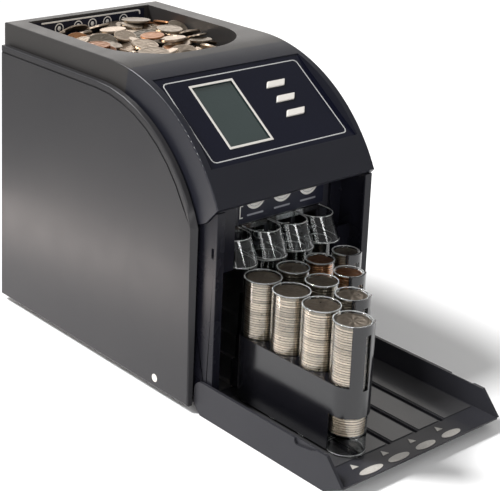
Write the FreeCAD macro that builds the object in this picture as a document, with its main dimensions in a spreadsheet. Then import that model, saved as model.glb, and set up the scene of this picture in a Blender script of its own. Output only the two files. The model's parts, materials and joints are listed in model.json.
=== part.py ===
import FreeCAD, Part
import os
import re
import Sketcher

# Table-top machine that sorts and counts loose coins. Coins poured into the
# hopper are sorted on a turning disc, drop through four clear chutes and fill
# four rows of clear tubes, which slide out over the folded-down front tray.
# +Z is up, the front faces -Y and +X is to the right as seen from the front.
# The origin is under the middle of the whole machine, on the table.

doc = FreeCAD.newDocument("CoinSorter")
sheet = doc.addObject("Spreadsheet::Sheet", "Sizes")

# Driving dimensions, in millimetres and degrees. Lengths called *_y are
# measured back from the front edge of the side panels, heights from the table.
SIZES = {
    # Side panels, their groove and their screws.
    "case_front": -50.0, "half_case": 83.5, "panel_thick": 4.5, "case_base": 4.5,
    "case_back_y": 242.0, "panel_top": 217.5, "panel_corner": 137.5, "panel_crown_y": 114.0,
    "panel_curve": 121.2, "panel_round": 1.3, "groove_wide": 1.5, "groove_in": 4.4,
    "screw_y": 37.6, "screw_z": 11.5, "bore_round": 1.5, "shank_round": 1.4, "head_round": 3.0,
    "seat_round": 3.2,
    # Console and hopper share one curved outline.
    "half_core": 77.4, "lip_y": -17.4, "lip_top": 155.5, "lip_thick": 2.35, "core_crown_y": 108.0,
    "core_top": 234.7, "core_curve": 138.84, "core_round": 1.0, "core_back_y": 245.9, "seam_y": 83.7,
    "shell": 2.6, "flank_deep": 20.0, "cut_y": -6.0, "cut_top": 143.3, "nose_y": 3.0,
    "nose_top": 139.0, "flank_y": 20.0, "flank_top": 165.0, "below_core": 130.0,
    # Control facet and what sits on it.
    "facet_y": 1.65, "facet_z": 181.4, "facet_tilt": 36.15, "overlay_thick": 0.8,
    "overlay_half": 71.5, "overlay_low": -4.6, "overlay_high": 77.0,
    "lcd_left": -45.2, "lcd_right": -3.4, "lcd_low": 7.7, "lcd_high": 66.3,
    "lcd_rim": 1.9, "lcd_proud": 0.5, "glass_drop": 1.6,
    "button_x": 32.0, "button_long": 18.0, "button_wide": 5.2, "button_lean": 0.8,
    "button_proud": 1.0, "button_first": 26.5, "button_step": 13.85, "button_gap": 0.35,
    "button_deep": 6.4, "board_drop": 7.6, "board_thick": 1.6, "board_left": -62.0,
    "board_right": 58.0, "board_low": 3.0, "board_high": 70.0,
    # Hopper opening, funnel and the heap of coins.
    "open_half": 61.5, "open_front_y": 94.0, "open_back_y": 237.0, "open_round": 47.0,
    "funnel_top": 211.0, "throat_z": 176.0, "throat_half": 44.0, "throat_front_y": 99.0,
    "throat_back_y": 172.0, "throat_round": 34.0, "tub_wall": 2.0, "rim_thick": 2.4,
    "hopper_skirt": 213.0, "hopper_card_half": 57.0, "card_thick": 0.6, "heap_gap": 1.2,
    "heap_top": 219.0, "dome_y": 168.0, "dome_high": 14.0,
    # Front tray, its hinge, finger notches and marks.
    "floor_top": 9.0, "floor_thick": 2.5, "slot_wide": 3.2, "slot_end_y": -125.7,
    "wall_out": 78.7, "wall_in": 76.2, "tray_tip_y": -145.9, "tray_bevel_y": -129.9,
    "wall_front_y": -131.6, "wall_top": 25.2, "hinge_y": -8.9, "hinge_z": 17.5,
    "ear_round": 7.7, "heel_y": -8.0, "heel_z": 6.0, "pin_round": 2.2, "pin_skin": 0.8, "pin_gap": 0.1,
    "pin_in": 4.0, "notch_back_y": -102.1, "notch_mid_y": -117.8, "notch_front_y": -125.0,
    "notch_deep": 4.6, "notch_shallow": 2.2, "notch_round": 2.4, "notch_in": 1.6,
    "tray_rib_low": 3.0, "tray_rib_thick": 2.0,
    "lane_raise": 0.5, "lane_gap": 1.6, "mark_thick": 0.4, "oval_in": 5.0, "oval_half": 3.1,
    "arrow_in": 14.0, "arrow_round": 3.2,
    # Posts beside the opening, with the fascia and the slit on the left one.
    "pillar_out": 75.9, "pillar_front_y": -16.5, "pillar_back_y": 14.0, "pillar_low": 9.8,
    "pillar_high": 152.3, "pillar_thick": 2.0, "pillar_face": 7.0, "pillar_rear": 12.0,
    "wing_y": 1.0, "row_room": 57.5, "fascia_x": -52.6, "fascia_low": 103.5, "fascia_y": -8.7,
    "fascia_thick": 1.6, "slit_y": -13.5, "slit_wide": 2.2, "slit_deep": 1.2, "slit_low": 119.0,
    "slit_high": 126.0,
    # Rows: places along a row, tubes, cradles and their keels.
    "pitch": 28.5, "fill_y": 2.5, "tube_low": 10.0, "tube_high": 102.2, "tube_wall": 1.1,
    "tube_floor": 1.5, "rim_bead": 0.68, "tube_gap": 0.35, "stack_top": 100.9, "cradle_wall": 0.95,
    "cradle_low": 12.0, "cradle_high": 59.5, "deck_thick": 2.5, "shield_low": 38.0,
    "shield_high": 102.5, "shield_half": 46.0, "window_wide": 4.4, "window_low": 57.0,
    "window_high": 96.0, "keel_long": 8.0, "keel_half": 1.25, "keel_low": 5.0, "tail_half": 6.0,
    "tail_high": 32.0,
    # Chutes, the plate behind them and its label.
    "chute_half": 13.1, "chute_wall": 1.2, "chute_top": 122.8, "chute_low": 104.2,
    "chute_top_y": 7.5, "chute_tilt": 23.0, "chute_reach": 34.0, "cheek_long": 24.0,
    "strip_wide": 4.2, "strip_thick": 1.2, "back_y": 16.0, "back_thick": 2.0, "back_low": 103.6,
    "back_high": 158.0, "card_left": -27.0, "card_right": 58.0, "label_thick": 0.5,
    # Sorting bed, disc, belt drive and sensors, measured along and above the bed.
    "bed_y": 24.0, "bed_z": 131.0, "bed_tilt": 10.0, "bed_long": 196.0, "bed_half": 72.0,
    "bed_thick": 3.0, "rail_thick": 2.5, "rail_high": 9.0, "dam_thick": 2.8, "dam_gap": 1.2,
    "dam_high": 8.0, "gate_half": 26.0, "bearing_low": -11.0, "bearing_round": 9.0,
    "ledge_half": 24.0, "ledge_low": -27.0, "disc_at": 111.5, "disc_round": 50.0,
    "disc_thick": 5.0, "disc_lift": 1.0, "hub_round": 16.0, "hub_nose": 5.0, "hub_high": 9.0,
    "vane_wide": 4.0, "vane_high": 3.1, "disc_pocket_at": 30.0, "disc_pocket_round": 9.0,
    "shaft_round": 4.0, "shaft_gap": 0.06, "pulley_round": 13.0, "pulley_low": -22.0,
    "pulley_thick": 9.0, "motor_at": 182.0, "motor_round": 20.0, "motor_long": 46.0,
    "boss_round": 6.5, "spindle_round": 2.5, "belt_gap": 0.35, "belt_thick": 1.4, "belt_wide": 6.0,
    "sensor_in": 6.0, "sensor_high": 9.0, "sensor_foot": 4.0, "eye_round": 2.4,
    # Case parts: sills, shelves, power fittings and feet.
    "sill_thick": 2.2, "sill_high": 30.0, "shelf_y": 120.0, "shelf_long": 12.0, "shelf_wide": 7.6,
    "foot_round": 8.0, "foot_taper": 1.5, "stud_round": 2.5, "supply_low": 14.0,
    # Gap left between parts that fit together, and the depth of fused joints.
    "fit": 0.2, "weld": 0.1,
}

# Each row: name, middle across the machine, tube radius, coin radius,
# height of a full stack, and how many places it stands out of the machine.
ROWS = (
    ("quarter", -40.2, 13.6, 12.13, 77.0, 4),
    ("nickel", -11.3, 12.1, 10.61, 81.9, 3),
    ("penny", 15.4, 11.0, 9.53, 79.0, 2),
    ("dime", 42.0, 10.4, 8.96, 71.6, 1),
)
TUBES_IN_ROW = 4
# The marks on the tray's lip: name, an oval's middle and half length, an arrow's middle.
MARKS = (
    ("quarter", -46.0, 10.6, -53.0),
    ("nickel", -19.6, 9.6, -24.0),
    ("penny", 7.0, 9.3, 2.8),
    ("dime", 33.0, 9.0, 30.0),
)

for line, (alias, value) in enumerate(SIZES.items(), start=1):
    sheet.set("A%d" % line, alias)
    sheet.set("B%d" % line, str(value))
    sheet.setAlias("B%d" % line, alias)
for row_place, row in enumerate(ROWS):
    for column, (quantity, value) in enumerate(
            zip(("row_x", "tube_round", "coin_round", "stack_high", "places_out"), row[1:])):
        cell = "%s%d" % ("DEFGH"[column], row_place + 1)
        sheet.set(cell, str(value))
        sheet.setAlias(cell, "%s_%s" % (row[0], quantity))
        SIZES["%s_%s" % (row[0], quantity)] = value
doc.recompute()

NAME = re.compile(r"[a-z_]+[a-z_]")
X_AXIS = FreeCAD.Vector(1, 0, 0)
Y_AXIS = FreeCAD.Vector(0, 1, 0)
Z_AXIS = FreeCAD.Vector(0, 0, 1)
SUB_PARTS = []


def bound(text):
    """The expression with each size's name pointing at its cell in the sheet."""
    return NAME.sub(lambda m: "Sizes." + m.group(0) if m.group(0) in SIZES else m.group(0), str(text))


def amount(text):
    """The present value of an expression in the sheet's names."""
    value = sheet.evalExpression(bound(text))
    return float(getattr(value, "Value", value))


def from_front(y):
    """A distance back from the side panels' front edge, in the machine's frame."""
    return "case_front + (%s)" % y


def bind(thing, **properties):
    for name, text in properties.items():
        thing.setExpression(name.replace("__", "."), bound(text))
    return thing


def place(thing, x="0", y="0", z="0", angle=None, axis=None):
    """Bind the object's Placement: a point, and a turn about one axis."""
    bind(thing, Placement__Base__x=x, Placement__Base__y=y, Placement__Base__z=z)
    if angle is not None:
        thing.Placement = FreeCAD.Placement(FreeCAD.Vector(), FreeCAD.Rotation(axis, amount(angle)))
        bind(thing, Placement__Rotation__Angle=angle)
    return thing


def add(kind, name):
    return doc.addObject(kind, name)


def box(name, x, y, z):
    """A box from low and high expressions along each axis."""
    piece = bind(add("Part::Box", name), Length="(%s) - (%s)" % (x[1], x[0]),
                 Width="(%s) - (%s)" % (y[1], y[0]), Height="(%s) - (%s)" % (z[1], z[0]))
    return place(piece, x[0], y[0], z[0])


def post(name, x, y, z, radius):
    """An upright cylinder from low to high z."""
    piece = bind(add("Part::Cylinder", name), Radius=radius, Height="(%s) - (%s)" % (z[1], z[0]))
    return place(piece, x, y, z[0])


def rod(name, x, y, z, radius):
    """A cylinder along X from low to high x."""
    piece = bind(add("Part::Cylinder", name), Radius=radius, Height="(%s) - (%s)" % (x[1], x[0]))
    return place(piece, x[0], y, z, "90", Y_AXIS)


def joined(name, pieces):
    whole = add("Part::MultiFuse", name)
    whole.Shapes = pieces
    return whole


def cut(name, base, tools):
    tool = tools[0] if len(tools) == 1 else joined(name + "_tools", tools)
    result = add("Part::Cut", name)
    result.Base = base
    result.Tool = tool
    return result


def shared(name, first, second):
    result = add("Part::Common", name)
    result.Base = first
    result.Tool = second
    return result


def plane_of(body, role):
    return [f for f in body.Origin.OriginFeatures if f.Role == role][0]


def outline(body, name, role, points, arcs=(), lift=None):
    """A closed sketch through the points, each fixed by expressions.

    arcs maps an edge's number to (radius, bulge): the edge that starts at that
    point is an arc of that radius, and bulge is +1 where it lies to the left of
    its chord and -1 where it lies to the right.
    """
    sketch = body.newObject("Sketcher::SketchObject", name)
    sketch.AttachmentSupport = (plane_of(body, role), [""])
    sketch.MapMode = "FlatFace"
    if lift is not None:
        sketch.setExpression("AttachmentOffset.Base.z", bound(lift))
    arcs = dict(arcs)
    flat = [FreeCAD.Vector(amount(u), amount(v), 0) for u, v in points]
    for number, start in enumerate(flat):
        end = flat[(number + 1) % len(flat)]
        if number in arcs:
            radius, bulge = amount(arcs[number][0]), arcs[number][1]
            half = end.sub(start).multiply(0.5)
            across = FreeCAD.Vector(-half.y, half.x, 0).normalize().multiply(bulge)
            rise = radius - max(radius ** 2 - half.Length ** 2, 0.0) ** 0.5
            middle = start.add(half).add(across.multiply(rise))
            sketch.addGeometry(Part.Arc(start, middle, end), False)
        else:
            sketch.addGeometry(Part.LineSegment(start, end), False)
    # An arc drawn clockwise is stored the other way round, so its end 1 is
    # its drawn end.
    for number, (u, v) in enumerate(points):
        last = (number - 1) % len(flat)
        start_end = 2 if number in arcs and arcs[number][1] == 1 else 1
        last_end = 1 if last in arcs and arcs[last][1] == 1 else 2
        sketch.addConstraint(Sketcher.Constraint("Coincident", last, last_end, number, start_end))
        for direction, text in (("DistanceX", u), ("DistanceY", v)):
            at = sketch.addConstraint(
                Sketcher.Constraint(direction, -1, 1, number, start_end, amount(text)))
            sketch.setExpression("Constraints[%d]" % at, bound(text))
    for number, (radius, bulge) in arcs.items():
        at = sketch.addConstraint(Sketcher.Constraint("Radius", number, amount(radius)))
        sketch.setExpression("Constraints[%d]" % at, bound(radius))
    return sketch


def round_edges(body, base, name, radius, wanted):
    """Round the edges of a body's last feature that the test picks."""
    doc.recompute()
    picked = ["Edge%d" % (number + 1) for number, edge in enumerate(base.Shape.Edges)
              if wanted(edge.BoundBox)]
    fillet = body.newObject("PartDesign::Fillet", name + "_round")
    fillet.Base = (base, picked)
    bind(fillet, Radius=radius)
    body.Tip = fillet


def slab(name, points, low, high, arcs=(), rounding=None):
    """A side view outline (y back, z up) drawn across the machine, low to high x.

    rounding is a radius and a test of an edge's bounding box.
    """
    body = add("PartDesign::Body", name)
    sketch = outline(body, name + "_outline", "YZ_Plane",
                     [(from_front(y), z) for y, z in points], arcs, lift=low)
    pad = body.newObject("PartDesign::Pad", name + "_pad")
    pad.Profile = sketch
    bind(pad, Length="(%s) - (%s)" % (high, low))
    body.Tip = pad
    if rounding:
        round_edges(body, pad, name, rounding[0], rounding[1])
    return body


def prism(name, points, low, high, arcs=()):
    """A plan outline (x right, y back) raised from low to high z."""
    body = add("PartDesign::Body", name)
    sketch = outline(body, name + "_outline", "XY_Plane", points, arcs, lift=low)
    pad = body.newObject("PartDesign::Pad", name + "_pad")
    pad.Profile = sketch
    bind(pad, Length="(%s) - (%s)" % (high, low))
    body.Tip = pad
    return body


def funnel(name, upper, lower):
    """A loft between two plan outlines, each (points, arcs, height)."""
    body = add("PartDesign::Body", name)
    sketches = [outline(body, "%s_ring%d" % (name, number), "XY_Plane", points, arcs, lift=height)
                for number, (points, arcs, height) in enumerate((upper, lower))]
    loft = body.newObject("PartDesign::AdditiveLoft", name + "_loft")
    loft.Profile = sketches[0]
    loft.Sections = [sketches[1]]
    loft.Ruled = True
    body.Tip = loft
    return body


def keep(node, piece):
    """Name the finished sub-part, which also names its file."""
    piece.Label = node
    SUB_PARTS.append(piece)
    return piece


def on_slope(piece, base_y, base_z, tilt):
    """Carry a piece made flat, with its own place on the flat, onto a slope."""
    own = {path.strip("."): text.replace("Sizes.", "") for path, text in piece.ExpressionEngine}
    x, y, z = [own.get("Placement.Base." + axis, "0") for axis in "xyz"]
    return place(piece, x,
                 "%s + (%s) * cos(%s) - (%s) * sin(%s)" % (from_front(base_y), y, tilt, z, tilt),
                 "%s + (%s) * sin(%s) + (%s) * cos(%s)" % (base_z, y, tilt, z, tilt), tilt, X_AXIS)


def on_facet(piece):
    """Stand a piece on the tilted control facet of the console."""
    return on_slope(piece, "facet_y", "facet_z", "facet_tilt")


def on_bed(piece):
    """Stand a piece on the tilted sorting bed."""
    return on_slope(piece, "bed_y", "bed_z", "bed_tilt")


def stadium(name, x, rear, front, reach, low, high):
    """An upright prism with half-round ends about two middles."""
    ends = [post("%s_end%d" % (name, number), x, at, (low, high), reach)
            for number, at in enumerate((rear, front))]
    middle = box(name + "_middle", ("%s - (%s)" % (x, reach), "%s + (%s)" % (x, reach)), (front, rear),
                 (low, high))
    return joined(name, ends + [middle])


# The joint between the console and the hopper runs straight in towards the
# centre of their shared curve.
SEAM_RISE = "sqrt(core_curve ^ 2 - (core_crown_y - seam_y) ^ 2)"
SEAM_SHARE = "(core_curve - flank_deep) / core_curve"
SEAM_Z = "core_top - core_curve + " + SEAM_RISE
SEAM_FOOT = ("core_crown_y - (core_crown_y - seam_y) * " + SEAM_SHARE,
             "core_top - core_curve + %s * %s" % (SEAM_RISE, SEAM_SHARE))


def screw_bore(name, sign):
    return rod(name, ("%s * half_case - 12" % sign, "%s * half_case + 12" % sign),
               from_front("screw_y"), "screw_z", "bore_round")


def side_panels():
    """Two flat cheeks with a curved front shoulder and a groove along it."""
    shape = [("0", "case_base"), ("0", "panel_corner"), ("panel_crown_y", "panel_top"),
             ("case_back_y", "panel_top"), ("case_back_y", "case_base")]
    drop = "(panel_corner - panel_top + panel_curve) ^ 2"
    near = "panel_crown_y - sqrt((panel_curve - groove_in) ^ 2 - %s)" % drop
    far = "panel_crown_y - sqrt((panel_curve - groove_in - groove_wide) ^ 2 - %s)" % drop
    inner = [(near, "panel_corner"), ("panel_crown_y", "panel_top - groove_in"),
             ("case_back_y + 1", "panel_top - groove_in"),
             ("case_back_y + 1", "panel_top - groove_in - groove_wide"),
             ("panel_crown_y", "panel_top - groove_in - groove_wide"), (far, "panel_corner")]
    outer_arc = {1: ("panel_curve", 1)}
    groove_arcs = {0: ("panel_curve - groove_in", 1), 4: ("panel_curve - groove_in - groove_wide", -1)}
    depth = "groove_wide * 0.6"
    for side, sign, low, high, face in (
            ("left", "-1", "-half_case", "panel_thick - half_case", "-half_case"),
            ("right", "1", "half_case - panel_thick", "half_case", "half_case - %s" % depth)):
        outer = amount("%s * half_case" % sign)
        cheek = slab("cheek_" + side, shape, low, high, outer_arc,
                     ("panel_round", lambda b: abs(b.XMin - outer) + abs(b.XMax - outer) < 0.01))
        groove = slab("groove_" + side, inner, face, "%s + %s" % (face, depth), groove_arcs)
        seat = rod("screw_seat_" + side, ("%s * half_case - 1" % sign, "%s * half_case + 1" % sign),
                   from_front("screw_y"), "screw_z", "seat_round")
        keep("side_panel_" + side, cut("cheek_cut_" + side, cheek,
                                       [groove, seat, screw_bore("cheek_bore_" + side, sign)]))


BUTTONS = (("lower", 0), ("middle", 1), ("upper", 2))


def button_line(number):
    return "button_first + %d * button_step" % number


def button_block(name, number, grow, low, high):
    """A button's slanted outline, grown all round, between two levels of the facet."""
    middle = button_line(number)
    half = "(button_wide / 2 + %s)" % grow
    reach = "(button_long / 2 + %s * 1.3)" % grow
    lean = "(%s * button_lean)" % half
    points = [("button_x - %s - %s" % (reach, lean), "%s - %s" % (middle, half)),
              ("button_x - %s + %s" % (reach, lean), "%s + %s" % (middle, half)),
              ("button_x + %s + %s" % (reach, lean), "%s + %s" % (middle, half)),
              ("button_x + %s - %s" % (reach, lean), "%s - %s" % (middle, half))]
    return prism(name, points, low, high)


def facet_window(name, depth):
    """The display's hole and the buttons' holes through a layer of the facet."""
    tools = [box(name + "_lcd", ("lcd_left + lcd_rim - 0.5", "lcd_right - lcd_rim + 0.5"),
                 ("lcd_low + lcd_rim - 0.5", "lcd_high - lcd_rim + 0.5"), (depth, "2"))]
    for place_name, number in BUTTONS:
        tools.append(button_block("%s_%s" % (name, place_name), number, "button_gap", depth, "2"))
    return tools


def console():
    """The curved front cover, hollow underneath, with a flat recess for the overlay."""
    skin = slab("console_skin", [
        ("lip_y", "lip_top"), ("seam_y", SEAM_Z), SEAM_FOOT, ("flank_y", "flank_top"), ("nose_y", "nose_top"),
        ("cut_y", "cut_top")], "-half_core", "half_core", {0: ("core_curve", 1)},
        ("core_round", lambda b: b.XMax - b.XMin < 0.01 and b.ZMax > amount(SEAM_Z) - 0.5
         and b.ZMin < amount("lip_top") + 0.5))
    hollow = slab("console_hollow", [
        ("lip_y + lip_thick", "lip_top - 1.1"), ("facet_y + 0.6", "facet_z - 3.8"),
        ("64.5", "223.2"), ("seam_y + 1", "229.2"), ("seam_y + 12", "229.2"),
        ("seam_y + 12", "below_core"), ("lip_y + lip_thick", "below_core")],
        "shell - half_core", "half_core - shell")
    recess = on_facet(box("console_recess", ("-overlay_half - fit", "overlay_half + fit"),
                          ("overlay_low - fit", "overlay_high + fit"), ("-overlay_thick", "9")))
    windows = on_facet(joined("console_windows", facet_window("console_hole", "-12")))
    keep("console_cover", cut("console_cut", skin, [hollow, recess, windows]))


def control_panel():
    """Overlay, framed display, three sprung buttons and the board behind them."""
    plate = box("overlay_plate", ("-overlay_half", "overlay_half"), ("overlay_low", "overlay_high"),
                ("-overlay_thick", "0"))
    keep("control_overlay", on_facet(cut("overlay_cut", plate, facet_window("overlay_hole", "-3"))))

    frame = box("lcd_block", ("lcd_left", "lcd_right"), ("lcd_low", "lcd_high"), ("0", "lcd_proud"))
    sight = box("lcd_sight", ("lcd_left + lcd_rim", "lcd_right - lcd_rim"),
                ("lcd_low + lcd_rim", "lcd_high - lcd_rim"), ("-1", "3"))
    keep("lcd_bezel", on_facet(cut("lcd_frame", frame, [sight])))
    keep("lcd_glass", on_facet(box(
        "lcd_pane", ("lcd_left + lcd_rim - 0.4", "lcd_right - lcd_rim + 0.4"),
        ("lcd_low + lcd_rim - 0.4", "lcd_high - lcd_rim + 0.4"),
        ("-glass_drop - 1.2", "-glass_drop + 0.6"))))

    for place_name, number in BUTTONS:
        cap = button_block("button_cap_" + place_name, number, "0", "-button_deep", "button_proud")
        keep("button_" + place_name, on_facet(cap))

    board = box("board_plate", ("board_left", "board_right"), ("board_low", "board_high"),
                ("-board_drop - board_thick", "-board_drop"))
    display = box("board_display", ("lcd_left + 1", "lcd_right - 1"), ("lcd_low + 1", "lcd_high - 1"),
                  ("-board_drop - weld", "-4.6"))
    chips = [box("board_chip%d" % number, (str(8 + 17 * number), str(18 + 17 * number)), ("10", "18"),
                 ("-board_drop - weld", "2.4 - board_drop")) for number in range(3)]
    keep("control_board", on_facet(joined("board_all", [board, display] + chips)))


def tub_outline(half, front, back, corner):
    """Plan of the hopper: square at the back, widely rounded at the front."""
    side = "%s + %s" % (front, corner)
    points = [("-(%s)" % half, from_front(back)), ("-(%s)" % half, from_front(side)),
              ("(%s) - (%s)" % (corner, half), from_front(front)),
              ("(%s) - (%s)" % (half, corner), from_front(front)), (half, from_front(side)),
              (half, from_front(back))]
    return points, {1: (corner, -1), 3: (corner, -1)}


def tub(name, grow, low_lift, high_lift):
    """The hopper's inside, straight walls above a funnel, grown by a wall."""
    upper = tub_outline("open_half + %s" % grow, "open_front_y - %s" % grow,
                        "open_back_y + %s" % grow, "open_round + %s" % grow)
    lower = tub_outline("throat_half + %s" % grow, "throat_front_y - %s" % grow,
                        "throat_back_y + %s" % grow, "throat_round + %s" % grow)
    cone = funnel(name + "_funnel", upper + ("funnel_top",), lower + ("throat_z + %s" % low_lift,))
    straight = prism(name + "_straight", upper[0], "funnel_top", high_lift, upper[1])
    return joined(name, [cone, straight])


def hopper():
    points = [("seam_y", SEAM_Z), ("core_crown_y", "core_top"), ("core_back_y", "core_top"),
              ("core_back_y", "hopper_skirt"), SEAM_FOOT]

    def on_rim(b):
        """The top edges of the two sides and of the back."""
        side = b.XMax - b.XMin < 0.01 and b.ZMax > amount("core_top") - 0.01 and b.ZMin > amount(SEAM_Z) - 0.5
        back = b.YMin > amount(from_front("core_back_y")) - 0.01 and b.ZMin > amount("core_top") - 0.01
        return side or back

    block = slab("hopper_block", points, "-half_core", "half_core", {0: ("core_curve", 1)},
                 ("core_round", on_rim))
    hollow = box("hopper_hollow", ("rim_thick - half_core", "half_core - rim_thick"),
                 (from_front("seam_y + 5.4"), from_front("core_back_y - rim_thick")),
                 ("hopper_skirt - 1", "core_top - rim_thick - 2"))
    rim = cut("hopper_rim", block, [hollow])
    wall = tub("tub_outside", "tub_wall", "0", "core_top - 1")
    inside = tub("tub_inside", "0", "-0.5", "core_top + 1")
    body = joined("hopper_solid", [rim, wall])
    keep("hopper", cut("hopper_cut", body, [inside]))

    keep("hopper_label", box(
        "hopper_plate", ("-hopper_card_half", "hopper_card_half"),
        (from_front("open_back_y - card_thick"), from_front("open_back_y")),
        ("funnel_top + 1", "core_top - 2")))

    full = tub("heap_tub", "-heap_gap", "3", "heap_top")
    dome = bind(add("Part::Ellipsoid", "heap_dome"), Radius1="dome_high", Radius2="open_half - 9",
                Radius3="open_half + 2", Angle1="0")
    place(dome, "0", from_front("dome_y"), "heap_top - 0.5")
    keep("hopper_coins", joined("heap_all", [full, dome]))


def front_tray():
    """The folded-down front door, which is also the table for the rows."""
    side = [("tray_bevel_y", "0"), ("tray_tip_y", "floor_top"), ("wall_front_y", "wall_top"),
            ("hinge_y", "wall_top"), ("hinge_y + ear_round", "hinge_z"),
            ("hinge_y + ear_round", "heel_z"), ("heel_y", "0")]
    notch_side = [("notch_back_y", "wall_top + 1"), ("notch_back_y", "wall_top - notch_deep"),
                  ("notch_mid_y", "wall_top - notch_shallow"), ("notch_front_y", "wall_top + 1")]
    deepest = amount("wall_top - notch_deep + fit")

    def at_notch_bottom(edge):
        return edge.XLength > edge.YLength + edge.ZLength and edge.ZMax < deepest

    pieces = []
    for name, low, high in (("left", "-wall_out", "-wall_in"), ("right", "wall_in", "wall_out")):
        wall = slab("tray_wall_" + name, side, low, high, {3: ("ear_round", 1)})
        reach = (("wall_out - notch_in", "wall_out + 1") if name == "right"
                 else ("-wall_out - 1", "notch_in - wall_out"))
        notch = slab("finger_notch_" + name, notch_side, reach[0], reach[1],
                     rounding=("notch_round", at_notch_bottom))
        pieces.append(cut("notched_wall_" + name, wall, [notch]))
    floor = box("tray_floor", ("-wall_in - fit", "wall_in + fit"),
                (from_front("wall_front_y + 5"), from_front("-2")),
                ("floor_top - floor_thick", "floor_top"))
    nose = slab("tray_nose", [
        ("wall_front_y + 6", "floor_top - floor_thick"), ("tray_bevel_y + 2", "0"), ("tray_bevel_y", "0"),
        ("tray_tip_y", "floor_top - 1.2"), ("tray_tip_y", "floor_top"), ("wall_front_y + 6", "floor_top")],
        "-wall_in - fit", "wall_in + fit")
    pieces += [floor, nose]
    for number, across in enumerate(("-45", "-85")):
        pieces.append(box("tray_rib%d" % number, ("-wall_in", "wall_in"),
                          (from_front(across), from_front(across + " + tray_rib_thick")),
                          ("tray_rib_low", "floor_top - floor_thick + weld")))
    slots = [box("tray_slot_" + row[0],
                 ("%s_row_x - slot_wide / 2" % row[0], "%s_row_x + slot_wide / 2" % row[0]),
                 (from_front("slot_end_y"), from_front("1")), ("-1", "floor_top + 1"))
             for row in ROWS]
    pin_holes = rod("tray_pin_hole", ("pin_skin - wall_out", "wall_out - pin_skin"), from_front("hinge_y"),
                    "hinge_z", "pin_round + pin_gap")
    keep("front_tray", cut("tray_cut", joined("tray_all", pieces), slots + [pin_holes]))

    pins = [rod("pin_left", ("pin_skin + pin_gap - wall_out", "pin_in - pillar_out"), from_front("hinge_y"),
                "hinge_z", "pin_round"),
            rod("pin_right", ("pillar_out - pin_in", "wall_out - pin_skin - pin_gap"), from_front("hinge_y"),
                "hinge_z", "pin_round")]
    keep("hinge_pins", joined("pins_all", pins))


def tray_trim():
    """Raised lane strips between the slots, and the marks on the tray's lip."""
    edges = ["2 - wall_in"]
    for row in ROWS:
        edges += ["%s_row_x - slot_wide / 2 - lane_gap" % row[0],
                  "%s_row_x + slot_wide / 2 + lane_gap" % row[0]]
    edges.append("wall_in - 2")
    strips = [box("lane%d" % number, (edges[2 * number], edges[2 * number + 1]),
                  (from_front("slot_end_y + 1"), from_front("-14")), ("floor_top", "floor_top + lane_raise"))
              for number in range(len(edges) // 2)]
    keep("lane_strips", joined("lanes_all", strips))

    marks = []
    for name, oval_x, half_long, arrow_x in MARKS:
        ring = bind(add("Part::Ellipse", "oval_ring_" + name), MajorRadius=str(half_long),
                    MinorRadius="oval_half")
        place(ring, str(oval_x), from_front("tray_tip_y + oval_in"), "floor_top")
        oval = add("Part::Extrusion", "oval_" + name)
        oval.Base = ring
        oval.DirMode = "Custom"
        oval.Dir = Z_AXIS
        oval.Solid = True
        marks.append(bind(oval, LengthFwd="mark_thick"))
        arrow = bind(add("Part::Prism", "arrow_" + name), Circumradius="arrow_round", Height="mark_thick")
        arrow.Polygon = 3
        marks.append(place(arrow, str(arrow_x), from_front("tray_tip_y + arrow_in"), "floor_top",
                           "90", Z_AXIS))
    keep("tray_marks", joined("marks_all", marks))


def pillars():
    """Channel-shaped posts beside the opening. They carry the tray's hinge pins."""
    for name, sign in (("left", -1), ("right", 1)):
        def span(near, far):
            ends = ["%d * (%s)" % (sign, near), "%d * (%s)" % (sign, far)]
            return (ends[1], ends[0]) if sign < 0 else (ends[0], ends[1])
        pieces = [
            box("pillar_flank_" + name, span("pillar_out - pillar_thick", "pillar_out"),
                (from_front("pillar_front_y"), from_front("pillar_back_y")), ("pillar_low", "pillar_high")),
            box("pillar_front_" + name, span("pillar_out - pillar_face", "pillar_out"),
                (from_front("pillar_front_y"), from_front("pillar_front_y + pillar_thick")),
                ("pillar_low", "pillar_high")),
            box("pillar_rear_" + name, span("pillar_out - pillar_rear", "pillar_out"),
                (from_front("pillar_back_y - 1"), from_front("back_y")), ("back_low", "pillar_high")),
            box("pillar_wing_" + name, span("row_room", "pillar_out - pillar_thick + weld"),
                (from_front("wing_y"), from_front("wing_y + pillar_thick")), ("pillar_low", "back_low + 4"))]
        holes = [rod("pillar_pin_hole_" + name, span("pillar_out - 9", "pillar_out + 1"),
                     from_front("hinge_y"), "hinge_z", "pin_round + pin_gap")]
        if sign < 0:
            pieces.append(box("pillar_fascia", ("-pillar_out + 1", "fascia_x"),
                              (from_front("fascia_y"), from_front("fascia_y + fascia_thick")),
                              ("fascia_low", "pillar_high")))
            holes.append(box("pillar_slit", ("-pillar_out - 1", "slit_deep - pillar_out"),
                             (from_front("slit_y"), from_front("slit_y + slit_wide")),
                             ("slit_low", "slit_high")))
        ends = span("half_core - shell - fit", "pillar_out + 1")
        holes.append(slab("pillar_notch_" + name, [
            ("lip_y - 1", "lip_top + 0.8"), ("cut_y - 0.2", "cut_top - 0.3"), ("nose_y", "nose_top - 0.3"),
            ("flank_y + 1", "flank_top"), ("flank_y + 1", "flank_top + 5"),
            ("lip_y - 1", "flank_top + 5")], ends[0], ends[1]))
        keep("front_pillar_" + name, cut("pillar_cut_" + name, joined("pillar_all_" + name, pieces), holes))


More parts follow.
